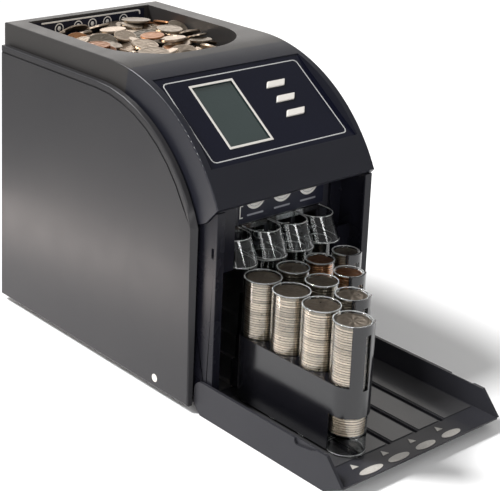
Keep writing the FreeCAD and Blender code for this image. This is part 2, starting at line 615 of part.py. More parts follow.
def chutes():
    """Four clear half-round guards that lead the coins forward into the tubes."""
    guards = []
    for row in ROWS:
        x = "%s_row_x" % row[0]
        name = "chute_" + row[0]
        outer = post(name + "_outer", "0", "0", ("-chute_reach", "8"), "chute_half")
        inner = post(name + "_inner", "0", "0", ("-chute_reach - 2", "9"), "chute_half - chute_wall")
        rear = box(name + "_rear", ("-chute_half - 1", "chute_half + 1"), ("0", "30"),
                   ("-chute_reach - 2", "10"))
        cheeks = [box("%s_cheek%d" % (name, number), (low, low + " + chute_wall"), ("-0.01", "cheek_long"),
                      ("-chute_reach", "8"))
                  for number, low in enumerate(("-chute_half", "chute_half - chute_wall"))]
        half = cut(name + "_half", outer, [inner, rear])
        trough = joined(name + "_trough", [half] + cheeks)
        place(trough, x, from_front("chute_top_y"), "chute_top", "-chute_tilt", X_AXIS)
        room = box(name + "_room", (x + " - chute_half - 2", x + " + chute_half + 2"),
                   (from_front("-40"), from_front("back_y")), ("chute_low", "chute_top"))
        guards.append(shared(name, trough, room))
    strip = box("chute_strip", ("quarter_row_x - chute_half", "dime_row_x + chute_half"),
                (from_front("back_y - strip_thick - weld"), from_front("back_y - weld")),
                ("chute_top + 0.6 - strip_wide", "chute_top + 0.6"))
    keep("coin_chutes", joined("chutes_all", guards + [strip]))

    plate = box("back_plate", ("-pillar_out + 0.5", "pillar_out - 0.5"),
                (from_front("back_y"), from_front("back_y + back_thick")), ("back_low", "back_high"))
    gates = [box("back_gate_" + row[0],
                 ("%s_row_x - chute_half + 2" % row[0], "%s_row_x + chute_half - 2" % row[0]),
                 (from_front("back_y - 1"), from_front("back_y + back_thick + 1")),
                 ("chute_low + 3", "chute_top - 4")) for row in ROWS]
    keep("chute_backplate", cut("back_cut", plate, gates))
    keep("chute_label", box("chute_card", ("card_left", "card_right"),
                            (from_front("back_y - label_thick"), from_front("back_y")),
                            ("chute_top + 1.5", "back_high - 4")))


def sorting_unit():
    """Tilted bed with the turning disc, its belt drive and the coin sensors."""
    bed = box("bed_plate", ("-bed_half", "bed_half"), ("0", "bed_long"), ("-bed_thick", "0"))
    rails = [box("bed_rail%d" % number, (low, low + " + rail_thick"), ("0", "bed_long"),
                 ("-weld", "rail_high"))
             for number, low in enumerate(("-bed_half", "bed_half - rail_thick"))]
    over_dam = ("-1", "dam_high + 1")
    dam = cut("bed_dam", post("bed_dam_outer", "0", "disc_at", ("-weld", "dam_high"),
                              "disc_round + dam_gap + dam_thick"),
              [post("bed_dam_inner", "0", "disc_at", over_dam, "disc_round + dam_gap"),
               box("bed_dam_gate", ("-gate_half", "gate_half"), ("disc_at - disc_round - 8", "disc_at"),
                   over_dam)])
    bearing = post("bed_bearing", "0", "disc_at", ("bearing_low", "weld - bed_thick"), "bearing_round")
    ledge = box("bed_ledge", ("-ledge_half", "ledge_half"), ("motor_at - ledge_half", "bed_long"),
                ("ledge_low", "ledge_low + rail_thick"))
    legs = [box("bed_leg%d" % number, (low, low + " + rail_thick"), ("motor_at - ledge_half", "bed_long"),
                ("ledge_low", "weld - bed_thick"))
            for number, low in enumerate(("weld - ledge_half - rail_thick", "ledge_half - weld"))]
    gates = [box("bed_gate_" + row[0], ("%s_row_x - %s_coin_round - 0.4" % (row[0], row[0]),
                                        "%s_row_x + %s_coin_round + 0.4" % (row[0], row[0])),
                 ("4", "12"), ("-bed_thick - 1", "1")) for row in ROWS]
    bores = [post("bed_bore", "0", "disc_at", ("bearing_low - 2", "1"), "shaft_round + shaft_gap"),
             post("bed_motor_bore", "0", "motor_at", ("ledge_low - 2", "ledge_low + 3"), "boss_round + 0.5")]
    keep("sorting_bed", on_bed(cut("bed_cut", joined("bed_all", [bed, dam, bearing, ledge] + rails + legs),
                                   gates + bores)))

    plate = post("disc_plate", "0", "disc_at", ("disc_lift", "disc_lift + disc_thick"), "disc_round")
    hub = bind(add("Part::Cone", "disc_hub"), Radius1="hub_round", Radius2="hub_nose", Height="hub_high")
    disc_top = "disc_lift + disc_thick - weld"
    place(hub, "0", "disc_at", disc_top)
    vanes = [place(bind(add("Part::Box", "disc_vane%d" % number), Length="disc_round - 8", Width="vane_wide",
                        Height="vane_high"), "0", "disc_at", disc_top,
                   str(120 * number), Z_AXIS) for number in range(3)]
    pockets = []
    for number in range(3):
        turn = 60 + 120 * number
        pockets.append(post("disc_pocket%d" % number, "disc_pocket_at * cos(%d)" % turn,
                            "disc_at + disc_pocket_at * sin(%d)" % turn,
                            ("disc_lift + 2", "disc_lift + disc_thick + 1"), "disc_pocket_round"))
    keep("sorting_disc", on_bed(cut("disc_cut", joined("disc_all", [plate, hub] + vanes), pockets)))

    shaft = post("shaft_rod", "0", "disc_at", ("pulley_low - 2", "disc_lift"), "shaft_round")
    wheel = post("shaft_wheel", "0", "disc_at", ("pulley_low", "pulley_low + pulley_thick"), "pulley_round")
    keep("disc_shaft", on_bed(joined("shaft_all", [shaft, wheel])))

    spindle = post("motor_spindle", "0", "motor_at", ("pulley_low - 2", "pulley_low + pulley_thick + 1"),
                   "spindle_round")
    motor_wheel = post("motor_wheel", "0", "motor_at", ("pulley_low", "pulley_low + pulley_thick"),
                       "pulley_round")
    keep("motor_pulley", on_bed(joined("motor_turning", [spindle, motor_wheel])))

    can = post("motor_can", "0", "motor_at", ("ledge_low - motor_long", "ledge_low"), "motor_round")
    boss = post("motor_boss", "0", "motor_at", ("ledge_low - weld", "ledge_low + rail_thick - weld"),
                "boss_round")
    bore = post("motor_bore", "0", "motor_at", ("ledge_low + 2.2", "ledge_low + 3"), "spindle_round + 0.5")
    keep("drive_motor", on_bed(cut("motor_cut", joined("motor_all", [can, boss]), [bore])))

    level = "pulley_low + 1.5"
    outside = stadium("belt_outside", "0", "motor_at", "disc_at", "pulley_round + belt_gap + belt_thick",
                      level, level + " + belt_wide")
    inside = stadium("belt_inside", "0", "motor_at", "disc_at", "pulley_round + belt_gap",
                     level + " - 1", level + " + belt_wide + 1")
    keep("drive_belt", on_bed(cut("belt_cut", outside, [inside])))

    along = ("2", "9")
    under = "sensor_foot + weld"
    bar = box("sensor_bar", ("sensor_in - bed_half", "bed_half - sensor_in"), along,
              ("sensor_foot", "sensor_high"))
    feet = [box("sensor_foot%d" % number, (low, low + " + 4"), along, ("0", under))
            for number, low in enumerate(("sensor_in - bed_half", "bed_half - sensor_in - 4"))]
    eyes = [post("sensor_eye_" + row[0], "%s_row_x" % row[0], "5.5", ("sensor_foot - 1", under), "eye_round")
            for row in ROWS]
    keep("coin_sensors", on_bed(joined("sensor_all", [bar] + feet + eyes)))


def case():
    """Base, rear panel with its power fittings, power supply, feet and screws."""
    inner = "half_case - panel_thick"
    plate = box("base_plate", ("fit - (%s)" % inner, inner + " - fit"),
                (from_front("0.6"), from_front("case_back_y - 2")), ("floor_top - floor_thick", "floor_top"))
    edge = "fit + sill_thick"
    ledge = edge + " + shelf_wide"
    sills = [box("base_sill%d" % number, span,
                 (from_front("pillar_back_y + 4"), from_front("case_back_y - 2")), ("case_base", "sill_high"))
             for number, span in enumerate((("fit - (%s)" % inner, "%s - (%s)" % (edge, inner)),
                                            ("%s - (%s)" % (inner, edge), inner + " - fit")))]
    shelves = [box("base_shelf%d" % number, span, (from_front("shelf_y"), from_front("shelf_y + shelf_long")),
                   ("floor_top - weld", "bed_z + 6"))
               for number, span in enumerate((("%s - (%s)" % (edge, inner), "%s - (%s)" % (ledge, inner)),
                                              ("%s - (%s)" % (inner, ledge), "%s - (%s)" % (inner, edge))))]
    slots = [box("base_slot_" + row[0],
                 ("%s_row_x - slot_wide / 2" % row[0], "%s_row_x + slot_wide / 2" % row[0]),
                 (from_front("-1"), from_front("114")), ("0", "floor_top + 1")) for row in ROWS]
    bores = [screw_bore("base_bore_" + side, sign) for side, sign in (("left", "-1"), ("right", "1"))]
    keep("base_chassis", cut("base_cut", joined("base_all", [plate] + sills + shelves), slots + bores))

    rear = joined("rear_plates", [
        box("rear_plate", ("fit - (%s)" % inner, inner + " - fit"),
            (from_front("case_back_y - 2"), from_front("case_back_y")), ("case_base", "hopper_skirt - fit")),
        box("rear_tongue", ("rim_thick + 0.4 - half_core", "half_core - rim_thick - 0.4"),
            (from_front("case_back_y - 2"), from_front("case_back_y")),
            ("hopper_skirt - 1", "core_top - 6"))])
    vents = [box("rear_vent%d" % number, (str(18 + 6 * number), str(21 + 6 * number)),
                 (from_front("case_back_y - 3"), from_front("case_back_y + 1")), ("90", "140"))
             for number in range(7)]
    inlet_hole = box("rear_inlet_hole", ("-56.2", "-27.8"),
                     (from_front("case_back_y - 3"), from_front("case_back_y + 1")), ("21.8", "44.2"))
    switch_hole = box("rear_switch_hole", ("-15.3", "5.3"),
                      (from_front("case_back_y - 3"), from_front("case_back_y + 1")), ("25.3", "40.7"))
    keep("rear_panel", cut("rear_cut", rear, vents + [inlet_hole, switch_hole]))

    inlet = joined("inlet_block", [
        box("inlet_body", ("-56", "-28"), (from_front("case_back_y - 18"), from_front("case_back_y + 0.5")),
            ("22", "44")),
        box("inlet_flange", ("-60", "-24"), (from_front("case_back_y"), from_front("case_back_y + 2")),
            ("19.5", "46.5"))])
    well = box("inlet_well", ("-53", "-31"), (from_front("case_back_y - 14"), from_front("case_back_y + 3")),
               ("25", "41"))
    prongs = [box("inlet_prong%d" % number, (str(x - 2), str(x + 2)),
                  (from_front("case_back_y - 14.5"), from_front("case_back_y - 2")), (str(z - 1), str(z + 1)))
              for number, (x, z) in enumerate(((-48, 30), (-36, 30), (-42, 36)))]
    keep("mains_inlet", joined("inlet_all", [cut("inlet_cut", inlet, [well])] + prongs))

    rocker = box("rocker_cap", ("-14.9", "4.9"), ("-3", "3.2"), ("-7", "7"))
    place(rocker, "-14.9", from_front("case_back_y - 2.6"), "26", "5", X_AXIS)
    keep("rocker_switch", rocker)

    supply = [box("supply_board", ("-68", "-2"), (from_front("136"), from_front("206")),
                  ("supply_low", "supply_low + board_thick")),
              box("supply_core", ("-60", "-28"), (from_front("150"), from_front("186")), ("15.5", "44")),
              box("supply_coil", ("-55", "-33"), (from_front("146"), from_front("190")), ("19", "40")),
              box("supply_cap", ("-22", "-8"), (from_front("150"), from_front("170")), ("15.5", "32"))]
    supply += [post("supply_stud%d" % number, x, from_front(y), ("floor_top", "supply_low + weld"),
                    "stud_round")
               for number, (x, y) in enumerate((("-65", "139"), ("-5", "139"), ("-65", "203"), ("-5", "203")))]
    keep("power_supply", joined("supply_all", supply))

    feet = [bind(add("Part::Cone", "foot%d" % number), Radius1="foot_round - foot_taper", Radius2="foot_round",
                 Height="floor_top - floor_thick") for number in range(4)]
    for foot, (x, y) in zip(feet, ((-66, 30), (66, 30), (-66, 228), (66, 228))):
        place(foot, str(x), from_front(str(y)), "0")
    keep("rubber_feet", joined("feet_all", feet))

    heads = []
    for side, sign in (("left", "-1"), ("right", "1")):
        ends = ["%s * (half_case - 1)" % sign, "%s * (half_case - 0.1)" % sign]
        heads.append(rod("screw_head_" + side, sorted(ends, key=amount), from_front("screw_y"),
                         "screw_z", "head_round"))
        ends = ["%s * (half_case - 0.5)" % sign, "%s * (half_case - 9)" % sign]
        heads.append(rod("screw_shank_" + side, sorted(ends, key=amount), from_front("screw_y"),
                         "screw_z", "shank_round"))
    keep("case_screws", joined("screws_all", heads))


def row_unit(row):
    """One sliding cradle with its four clear tubes and their coins."""
    name = row[0]
    x = name + "_row_x"
    fit = "%s_tube_round + tube_gap" % name
    reach = "%s + cradle_wall" % fit
    places_out = row[5]

    def tube_y(number):
        """The middle of a tube, counted from the front one."""
        return from_front("fill_y - (%s_places_out - %d) * pitch" % (name, number))
    front, rear = tube_y(0), tube_y(TUBES_IN_ROW - 1)

    outer = stadium(name + "_outer", x, rear, front, reach, "cradle_low", "cradle_high")
    inner = stadium(name + "_inner", x, rear, front, fit, "cradle_low - 1", "cradle_high - deck_thick")
    bores = [post("%s_bore%d" % (name, number), x, tube_y(number),
                  ("cradle_high - deck_thick - 1", "cradle_high + 1"), fit) for number in range(TUBES_IN_ROW)]
    mouth = box(name + "_mouth", (x + " - 20", x + " + 20"), (front + " - 20", front + " + 3"),
                ("cradle_low - 1", "shield_low"))
    tail = box(name + "_tail", (x + " - tail_half", x + " + tail_half"),
               (rear + " + %s - 1" % fit, rear + " + %s + keel_long" % reach), ("cradle_low", "tail_high"))
    shell = cut(name + "_shell", joined(name + "_block", [outer, tail]), [inner, mouth] + bores)

    ring = cut(name + "_ring", post(name + "_ring_out", x, front, ("cradle_high - 1", "shield_high"), reach),
               [post(name + "_ring_in", x, front, ("cradle_high - 2", "shield_high + 1"), fit)])
    wedge = bind(add("Part::Cylinder", name + "_wedge"), Radius="20", Height="shield_high - cradle_high + 1",
                 Angle="2 * shield_half")
    place(wedge, x, front, "cradle_high - 1", "-90 - shield_half", Z_AXIS)
    shield = shared(name + "_shield", ring, wedge)
    keel = box(name + "_keel", (x + " - keel_half", x + " + keel_half"),
               (rear + " + %s + 1" % reach, rear + " + %s + keel_long" % reach),
               ("keel_low", "cradle_low + weld"))
    window = box(name + "_window", (x + " - window_wide / 2", x + " + window_wide / 2"),
                 (front + " - 20", front), ("window_low", "window_high"))
    keep("row_cradle_" + name, cut(name + "_cradle", joined(name + "_frame", [shell, shield, keel]),
                                   [window]))

    base_z = "stack_top - %s_stack_high" % name

    def tube(number):
        label = "%s_tube%d" % (name, number + 1)
        at = tube_y(number)
        outer_tube = post(label + "_outer", x, at, ("tube_low", "tube_high - rim_bead"),
                          "%s_tube_round" % name)
        upper = post(label + "_upper", x, at, (base_z, "tube_high + 1"), "%s_tube_round - tube_wall" % name)
        lower = post(label + "_lower", x, at, ("tube_low - 1", base_z + " - tube_floor"),
                     "%s_tube_round - tube_wall" % name)
        rim = bind(add("Part::Torus", label + "_rim"), Radius1="%s_tube_round - rim_bead" % name,
                   Radius2="rim_bead")
        place(rim, x, at, "tube_high - rim_bead")
        return joined(label, [cut(label + "_wall", outer_tube, [upper, lower]), rim])

    def stack(number, share="1"):
        top = "%s + %s_stack_high * %s" % (base_z, name, share)
        return post("%s_stack%d" % (name, number + 1), x, tube_y(number), (base_z, top),
                    "%s_coin_round" % name)

    lifts_out = places_out > 1
    outside = range(places_out)
    inside = range(places_out, TUBES_IN_ROW)
    for number in outside:
        keep("tube_%s_%d" % (name, number + 1), tube(number))
    if inside:
        keep("inner_tubes_" + name, joined(name + "_inner_tubes", [tube(number) for number in inside])
             if len(inside) > 1 else tube(places_out))
    if lifts_out:
        keep("coins_%s_front" % name, stack(0))
    fixed = [stack(number) for number in outside if number > 0 or not lifts_out]
    if inside:
        fixed.append(stack(places_out, "0.3"))
    keep("coins_" + name, joined(name + "_coins", fixed) if len(fixed) > 1 else fixed[0])


def export():
    doc.recompute()
    broken = [thing.Name for thing in doc.Objects if "Invalid" in thing.State or "Error" in thing.State]
    if broken:
        raise RuntimeError("failed objects: %s" % ", ".join(broken))
    os.makedirs("parts", exist_ok=True)
    for piece in SUB_PARTS:
        shape = piece.Shape
        if shape.isNull() or not shape.isValid() or shape.Volume <= 0:
            raise RuntimeError("bad shape: %s" % piece.Label)
        print("%-22s %9.1f mm3, %d solids" % (piece.Label, shape.Volume, len(shape.Solids)))
        shape.exportStep(os.path.join("parts", piece.Label + ".step"))
    print(len(SUB_PARTS), "sub-parts")


side_panels()
console()
control_panel()
hopper()
front_tray()
tray_trim()
pillars()
chutes()
sorting_unit()
case()
for one_row in ROWS:
    row_unit(one_row)
export()
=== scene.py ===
import json
import math

import bpy
import numpy as np
from mathutils import Matrix, Vector

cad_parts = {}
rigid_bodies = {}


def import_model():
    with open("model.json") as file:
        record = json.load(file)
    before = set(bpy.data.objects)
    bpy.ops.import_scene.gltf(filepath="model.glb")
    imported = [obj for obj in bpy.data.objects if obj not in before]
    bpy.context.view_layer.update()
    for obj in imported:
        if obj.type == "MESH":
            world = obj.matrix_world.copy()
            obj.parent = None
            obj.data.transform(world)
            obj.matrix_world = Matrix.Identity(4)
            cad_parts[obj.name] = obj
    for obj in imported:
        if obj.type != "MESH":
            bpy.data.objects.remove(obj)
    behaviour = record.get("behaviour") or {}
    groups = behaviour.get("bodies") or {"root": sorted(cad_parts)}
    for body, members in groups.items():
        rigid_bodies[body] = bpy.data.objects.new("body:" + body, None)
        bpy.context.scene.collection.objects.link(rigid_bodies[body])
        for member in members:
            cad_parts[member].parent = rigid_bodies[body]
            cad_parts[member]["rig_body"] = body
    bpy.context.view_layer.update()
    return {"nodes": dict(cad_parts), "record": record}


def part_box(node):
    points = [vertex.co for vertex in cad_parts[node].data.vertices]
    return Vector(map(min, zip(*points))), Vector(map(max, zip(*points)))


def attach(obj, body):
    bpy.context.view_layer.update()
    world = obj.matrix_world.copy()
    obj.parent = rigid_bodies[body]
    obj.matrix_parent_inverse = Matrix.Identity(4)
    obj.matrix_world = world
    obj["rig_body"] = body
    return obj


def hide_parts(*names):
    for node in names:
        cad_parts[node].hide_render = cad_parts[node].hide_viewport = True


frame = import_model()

MM = 0.001
# Range of the coins' random turns, in radians.
FULL_TURN = 6.28
NODES = frame["nodes"]
SLOT_OF = {part["node"]: part["material_slot"] for part in frame["record"]["subparts"]}
RANDOM = np.random.default_rng(7)


# ---------------------------------------------------------------- materials

# Noise scales of the surface patterns: a larger scale is a finer pattern.
TONE_SCALE = 18.0
RUB_SCALE = 55.0
WAVE_SCALE = 30.0
GRAIN_SCALE = 2600.0
CLEAR_WAVE_SCALE = 25.0
STAIN_SCALE = 500.0
COIN_RUB_SCALE = 400.0
SCRATCH_SCALE = 700.0
INK_TONE_SCALE = 900.0
INK_RUB_SCALE = 300.0
METAL_TONE_SCALE = 30.0
# Heights of the surface relief, in metres.
WAVE_HEIGHT = 0.00005
GRAIN_HEIGHT = 0.00004
FINE_GRAIN = 0.00001
GLASS_GRAIN = 0.000004
CLEAR_WAVE_HEIGHT = 0.00003
WEAR_HEIGHT = 0.00001
BRUSH_HEIGHT = 0.00003
# Brushed lines run along the machine: the pattern is stretched 25 times along y.
BRUSH_STRETCH = (1.0, 0.04, 1.0)
# Sockets of a colour Mix node, which share their names with those of its other kinds.
MIX_FIRST, MIX_SECOND, MIX_RESULT = 6, 7, 2


class Shader:
    """A Principled material and short ways to add nodes to it."""

    def __init__(self, name, color, rough, metal=0.0, **sockets):
        self.material = bpy.data.materials.new(name)
        self.material.use_nodes = True
        self.tree = self.material.node_tree
        self.shader = self.tree.nodes["Principled BSDF"]
        self.set("Base Color", (*color[:3], 1.0))
        self.set("Roughness", rough)
        self.set("Metallic", metal)
        for socket, value in sockets.items():
            self.set(socket.replace("_", " "), value)
        self.where = None

    def set(self, socket, value):
        self.shader.inputs[socket].default_value = value

    def add(self, kind, **properties):
        node = self.tree.nodes.new(kind)
        for name, value in properties.items():
            setattr(node, name, value)
        return node

    def join(self, source, output, target, socket):
        self.tree.links.new(source.outputs[output], target.inputs[socket])

    def coordinates(self):
        """The one coordinate node that all of the material's patterns share."""
        if self.where is None:
            self.where = self.add("ShaderNodeTexCoord")
        return self.where

    def noise(self, scale, detail=3.0, rough=0.5, stretch=None):
        """A noise pattern fixed to the piece, stretched along an axis where that is given."""
        node = self.add("ShaderNodeTexNoise")
        node.inputs["Scale"].default_value = scale
        node.inputs["Detail"].default_value = detail
        node.inputs["Roughness"].default_value = rough
        if stretch:
            mapping = self.add("ShaderNodeMapping")
            mapping.inputs["Scale"].default_value = stretch
            self.join(self.coordinates(), "Object", mapping, "Vector")
            self.join(mapping, "Vector", node, "Vector")
        else:
            self.join(self.coordinates(), "Object", node, "Vector")
        return node

    def spread(self, source, output, low, high, start=0.3, end=0.7):
        """Map a 0 to 1 value onto a new range."""
        node = self.add("ShaderNodeMapRange")
        node.inputs["From Min"].default_value = start
        node.inputs["From Max"].default_value = end
        node.inputs["To Min"].default_value = low
        node.inputs["To Max"].default_value = high
        self.join(source, output, node, "Value")
        return node

    def vary_rough(self, low, high, scale, detail=4.0):
        """Roughness that wanders between two values."""
        self.join(self.spread(self.noise(scale, detail), "Fac", low, high), "Result",
                  self.shader, "Roughness")

    def vary_color(self, first, second, scale, detail=4.0, start=0.35, end=0.65):
        """Base colour that wanders between two colours."""
        ramp = self.add("ShaderNodeValToRGB")
        ramp.color_ramp.elements[0].position = start
        ramp.color_ramp.elements[1].position = end
        ramp.color_ramp.elements[0].color = (*first, 1.0)
        ramp.color_ramp.elements[1].color = (*second, 1.0)
        self.join(self.noise(scale, detail), "Fac", ramp, "Fac")
        self.join(ramp, "Color", self.shader, "Base Color")

    def bump(self, source, output, height, strength=1.0, under=None):
        """A relief of the given height in metres, over another one where that is given."""
        node = self.add("ShaderNodeBump")
        node.inputs["Strength"].default_value = strength
        node.inputs["Distance"].default_value = height
        self.join(source, output, node, "Height")
        if under is not None:
            self.join(under, "Normal", node, "Normal")
        self.join(node, "Normal", self.shader, "Normal")
        return node


def moulded(name, dark, light, rough, grain=GRAIN_HEIGHT, spec=0.5, coat=0.0):
    """Moulded plastic: a soft tone change, slightly rubbed patches, and a fine grain over soft waves."""
    made = Shader(name, dark, rough, Specular_IOR_Level=spec, Coat_Weight=coat, Coat_Roughness=0.12)
    made.vary_color(dark, light, TONE_SCALE, start=0.2, end=0.8)
    made.vary_rough(rough - 0.02, rough + 0.03, RUB_SCALE)
    waves = made.bump(made.noise(WAVE_SCALE, 1.0), "Fac", WAVE_HEIGHT, 0.3)
    made.bump(made.noise(GRAIN_SCALE, 2.0), "Fac", grain, 0.6, under=waves)
    return made.material


def clear(name, tint, rough, ior=1.46):
    """Polished clear plastic, with a very slight waviness of the moulding."""
    made = Shader(name, tint, rough, Transmission_Weight=1.0, IOR=ior)
    made.bump(made.noise(CLEAR_WAVE_SCALE, 0.0), "Fac", CLEAR_WAVE_HEIGHT, 0.1)
    return made.material


def coin_metal(name, bright, dull, rough):
    """Struck metal: each coin has its own tone, which on stacked coins also carries painted shade, with fine
    wear all over.
    """
    made = Shader(name, bright, rough, 1.0)
    tone = made.add("ShaderNodeAttribute", attribute_name="tone")
    ramp = made.add("ShaderNodeValToRGB")
    ramp.color_ramp.elements[0].color = (*dull, 1.0)
    ramp.color_ramp.elements[1].color = (*bright, 1.0)
    made.join(tone, "Fac", ramp, "Fac")
    stain = made.spread(made.noise(STAIN_SCALE, 3.0, 0.6), "Fac", 0.84, 1.0, 0.35, 0.6)
    mix = made.add("ShaderNodeMix", data_type="RGBA", blend_type="MULTIPLY")
    mix.inputs["Factor"].default_value = 1.0
    made.join(ramp, "Color", mix, MIX_FIRST)
    made.join(stain, "Result", mix, MIX_SECOND)
    made.join(mix, MIX_RESULT, made.shader, "Base Color")
    made.vary_rough(rough - 0.05, rough + 0.08, COIN_RUB_SCALE)
    made.bump(made.noise(SCRATCH_SCALE, 2.0), "Fac", WEAR_HEIGHT, 0.5)
    return made.material


def printed(name, color, rough=0.4):
    """Flat printed ink with the slight unevenness of a screen print."""
    made = Shader(name, color, rough)
    shade = tuple(channel * 0.86 for channel in color)
    made.vary_color(shade, color, INK_TONE_SCALE, 2.0)
    made.vary_rough(rough - 0.06, rough + 0.08, INK_RUB_SCALE)
    return made.material


def brushed(name, dark, light, rough):
    """Brushed metal, with its fine lines along the machine's length."""
    made = Shader(name, light, rough, 1.0)
    made.vary_color(dark, light, METAL_TONE_SCALE)
    lines = made.noise(SCRATCH_SCALE, 3.0, 0.6, stretch=BRUSH_STRETCH)
    made.join(made.spread(lines, "Fac", rough - 0.08, rough + 0.12), "Result", made.shader, "Roughness")
    made.bump(lines, "Fac", BRUSH_HEIGHT, 0.5)
    return made.material


# One material for each material slot of the record.
LOOKS = {
    "case_plastic": moulded("case_moulding", (0.026, 0.0255, 0.028), (0.030, 0.0292, 0.031), 0.33, spec=0.24),
    "console_plastic": moulded("console_moulding", (0.0100, 0.0105, 0.0160), (0.0120, 0.0125, 0.0185), 0.34,
                               spec=0.42),
    "hopper_plastic": moulded("hopper_moulding", (0.028, 0.0260, 0.0255), (0.034, 0.032, 0.031), 0.36,
                              spec=0.30),
    "tray_plastic": moulded("tray_moulding", (0.021, 0.021, 0.025), (0.026, 0.026, 0.031), 0.40, spec=0.22),
    "pillar_plastic": moulded("pillar_moulding", (0.006, 0.006, 0.010), (0.009, 0.009, 0.013), 0.26,
                              grain=FINE_GRAIN, spec=0.18),
    "plate_plastic": moulded("plate_moulding", (0.012, 0.012, 0.018), (0.018, 0.018, 0.024), 0.42),
    "lane_plastic": moulded("lane_moulding", (0.034, 0.034, 0.036), (0.046, 0.045, 0.047), 0.30),
    "cradle_plastic": moulded("cradle_moulding", (0.005, 0.005, 0.007), (0.008, 0.008, 0.010), 0.15,
                              grain=FINE_GRAIN, coat=0.25),
    "bezel_plastic": moulded("bezel_moulding", (0.56, 0.54, 0.50), (0.66, 0.63, 0.59), 0.35),
    "button_plastic": moulded("button_moulding", (0.66, 0.63, 0.58), (0.76, 0.73, 0.68), 0.32),
    "overlay_film": moulded("overlay_film", (0.0040, 0.0046, 0.011), (0.0052, 0.0058, 0.014), 0.22,
                            grain=FINE_GRAIN, spec=0.26),
    "label_film": moulded("label_film", (0.008, 0.009, 0.018), (0.011, 0.012, 0.024), 0.45,
                          grain=FINE_GRAIN, spec=0.2),
    "display_pane": moulded("display_pane", (0.020, 0.033, 0.032), (0.026, 0.040, 0.038), 0.08,
                            grain=GLASS_GRAIN, coat=1.0),
    "rocker_plastic": moulded("rocker_moulding", (0.010, 0.010, 0.010), (0.014, 0.014, 0.014), 0.18),
    "inlet_plastic": moulded("inlet_moulding", (0.012, 0.012, 0.012), (0.018, 0.018, 0.018), 0.42),
    "disc_plastic": moulded("disc_moulding", (0.030, 0.030, 0.034), (0.045, 0.045, 0.050), 0.40),
    "sensor_plastic": moulded("sensor_moulding", (0.012, 0.012, 0.012), (0.018, 0.018, 0.018), 0.45),
    "circuit_board": moulded("circuit_board", (0.008, 0.060, 0.022), (0.014, 0.085, 0.034), 0.35),
    "supply_parts": moulded("supply_parts", (0.060, 0.038, 0.018), (0.110, 0.070, 0.030), 0.40),
    "motor_metal": brushed("motor_metal", (0.10, 0.10, 0.11), (0.17, 0.17, 0.18), 0.38),
    "sheet_steel": brushed("sheet_steel", (0.33, 0.33, 0.34), (0.44, 0.44, 0.45), 0.38),
    "machined_steel": brushed("machined_steel", (0.45, 0.44, 0.43), (0.58, 0.57, 0.55), 0.26),
    "screw_steel": moulded("screw_finish", (0.62, 0.60, 0.56), (0.74, 0.72, 0.68), 0.35),
    "belt_rubber": moulded("belt_rubber", (0.010, 0.010, 0.010), (0.016, 0.016, 0.016), 0.72),
    "foot_rubber": moulded("foot_rubber", (0.012, 0.012, 0.012), (0.020, 0.020, 0.020), 0.75),
    "mark_paint": printed("mark_ink", (0.42, 0.40, 0.37)),
    "clear_plastic": clear("clear_moulding", (0.93, 0.95, 0.95), 0.02),
    "coin_nickel": coin_metal("coin_nickel", (0.74, 0.60, 0.47), (0.17, 0.145, 0.11), 0.32),
    "coin_copper": coin_metal("coin_copper", (0.74, 0.36, 0.17), (0.16, 0.06, 0.025), 0.32),
}
SILVER_INK = printed("silver_ink", (0.50, 0.50, 0.49), 0.30)
PALE_INK = printed("pale_ink", (0.74, 0.72, 0.68), 0.38)
DIM_INK = printed("dim_ink", (0.25, 0.25, 0.28), 0.35)
# Painted highlight: a whitish, mostly opaque finish for thin beads along clear edges, standing for the glints
# of light on them.
PAINTED_GLINT = Shader("painted_glint_edge", (0.93, 0.94, 0.94), 0.14, Transmission_Weight=0.30, IOR=1.5).material

# Points closer than the gap are joined, and edges sharper than the angle are rounded.
WELD_GAP = 0.00001
EDGE_ANGLE = math.radians(35)
EDGE_STEPS = 3
# Rounded edges, in metres, for the mouldings whose edges catch the light.
EDGES = {
    "front_tray": 0.0005, "front_pillar_left": 0.0005, "front_pillar_right": 0.0005,
    "lcd_bezel": 0.0003, "button_upper": 0.0006, "button_middle": 0.0006, "button_lower": 0.0006,
    "rear_panel": 0.0004, "mains_inlet": 0.0004, "rocker_switch": 0.0008, "lane_strips": 0.0002,
    "sorting_disc": 0.0004, "chute_backplate": 0.0003,
}


def dress_nodes():
    """Give each CAD node its material, and round the edges of those that EDGES names."""
    for name, node in NODES.items():
        node.data.materials.clear()
        node.data.materials.append(LOOKS[SLOT_OF[name]])
        if name in EDGES:
            weld = node.modifiers.new("weld", "WELD")
            weld.merge_threshold = WELD_GAP
            bevel = node.modifiers.new("edges", "BEVEL")
            bevel.width = EDGES[name]
            bevel.segments = EDGE_STEPS
            bevel.limit_method = "ANGLE"
            bevel.angle_limit = EDGE_ANGLE
            bevel.harden_normals = True
            bevel.use_clamp_overlap = True


# ------------------------------------------------------------ mesh building

SMOOTH_ANGLE = math.radians(40)


class Mesh:
    """Collects the points and faces of many small shapes into one object."""

    def __init__(self):
        self.points, self.faces, self.slots, self.tones = [], [], [], []
        self.count = 0

    def add(self, points, faces, slot=0, tone=1.0):
        self.points.append(np.asarray(points, float))
        self.faces.extend([[index + self.count for index in face] for face in faces])
        self.slots.extend([slot] * len(faces))
        self.tones.extend(np.broadcast_to(tone, len(points)).tolist())
        self.count += len(points)

    def finish(self, name, body, materials):
        data = bpy.data.meshes.new(name)
        data.from_pydata(np.vstack(self.points).tolist(), [], self.faces)
        for material in materials:
            data.materials.append(material)
        data.polygons.foreach_set("material_index", self.slots)
        tone = data.attributes.new("tone", "FLOAT", "POINT")
        tone.data.foreach_set("value", self.tones)
        data.update()
        data.shade_smooth()
        data.set_sharp_from_angle(angle=SMOOTH_ANGLE)
        piece = bpy.data.objects.new(name, data)
        bpy.context.scene.collection.objects.link(piece)
        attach(piece, body)
        return piece


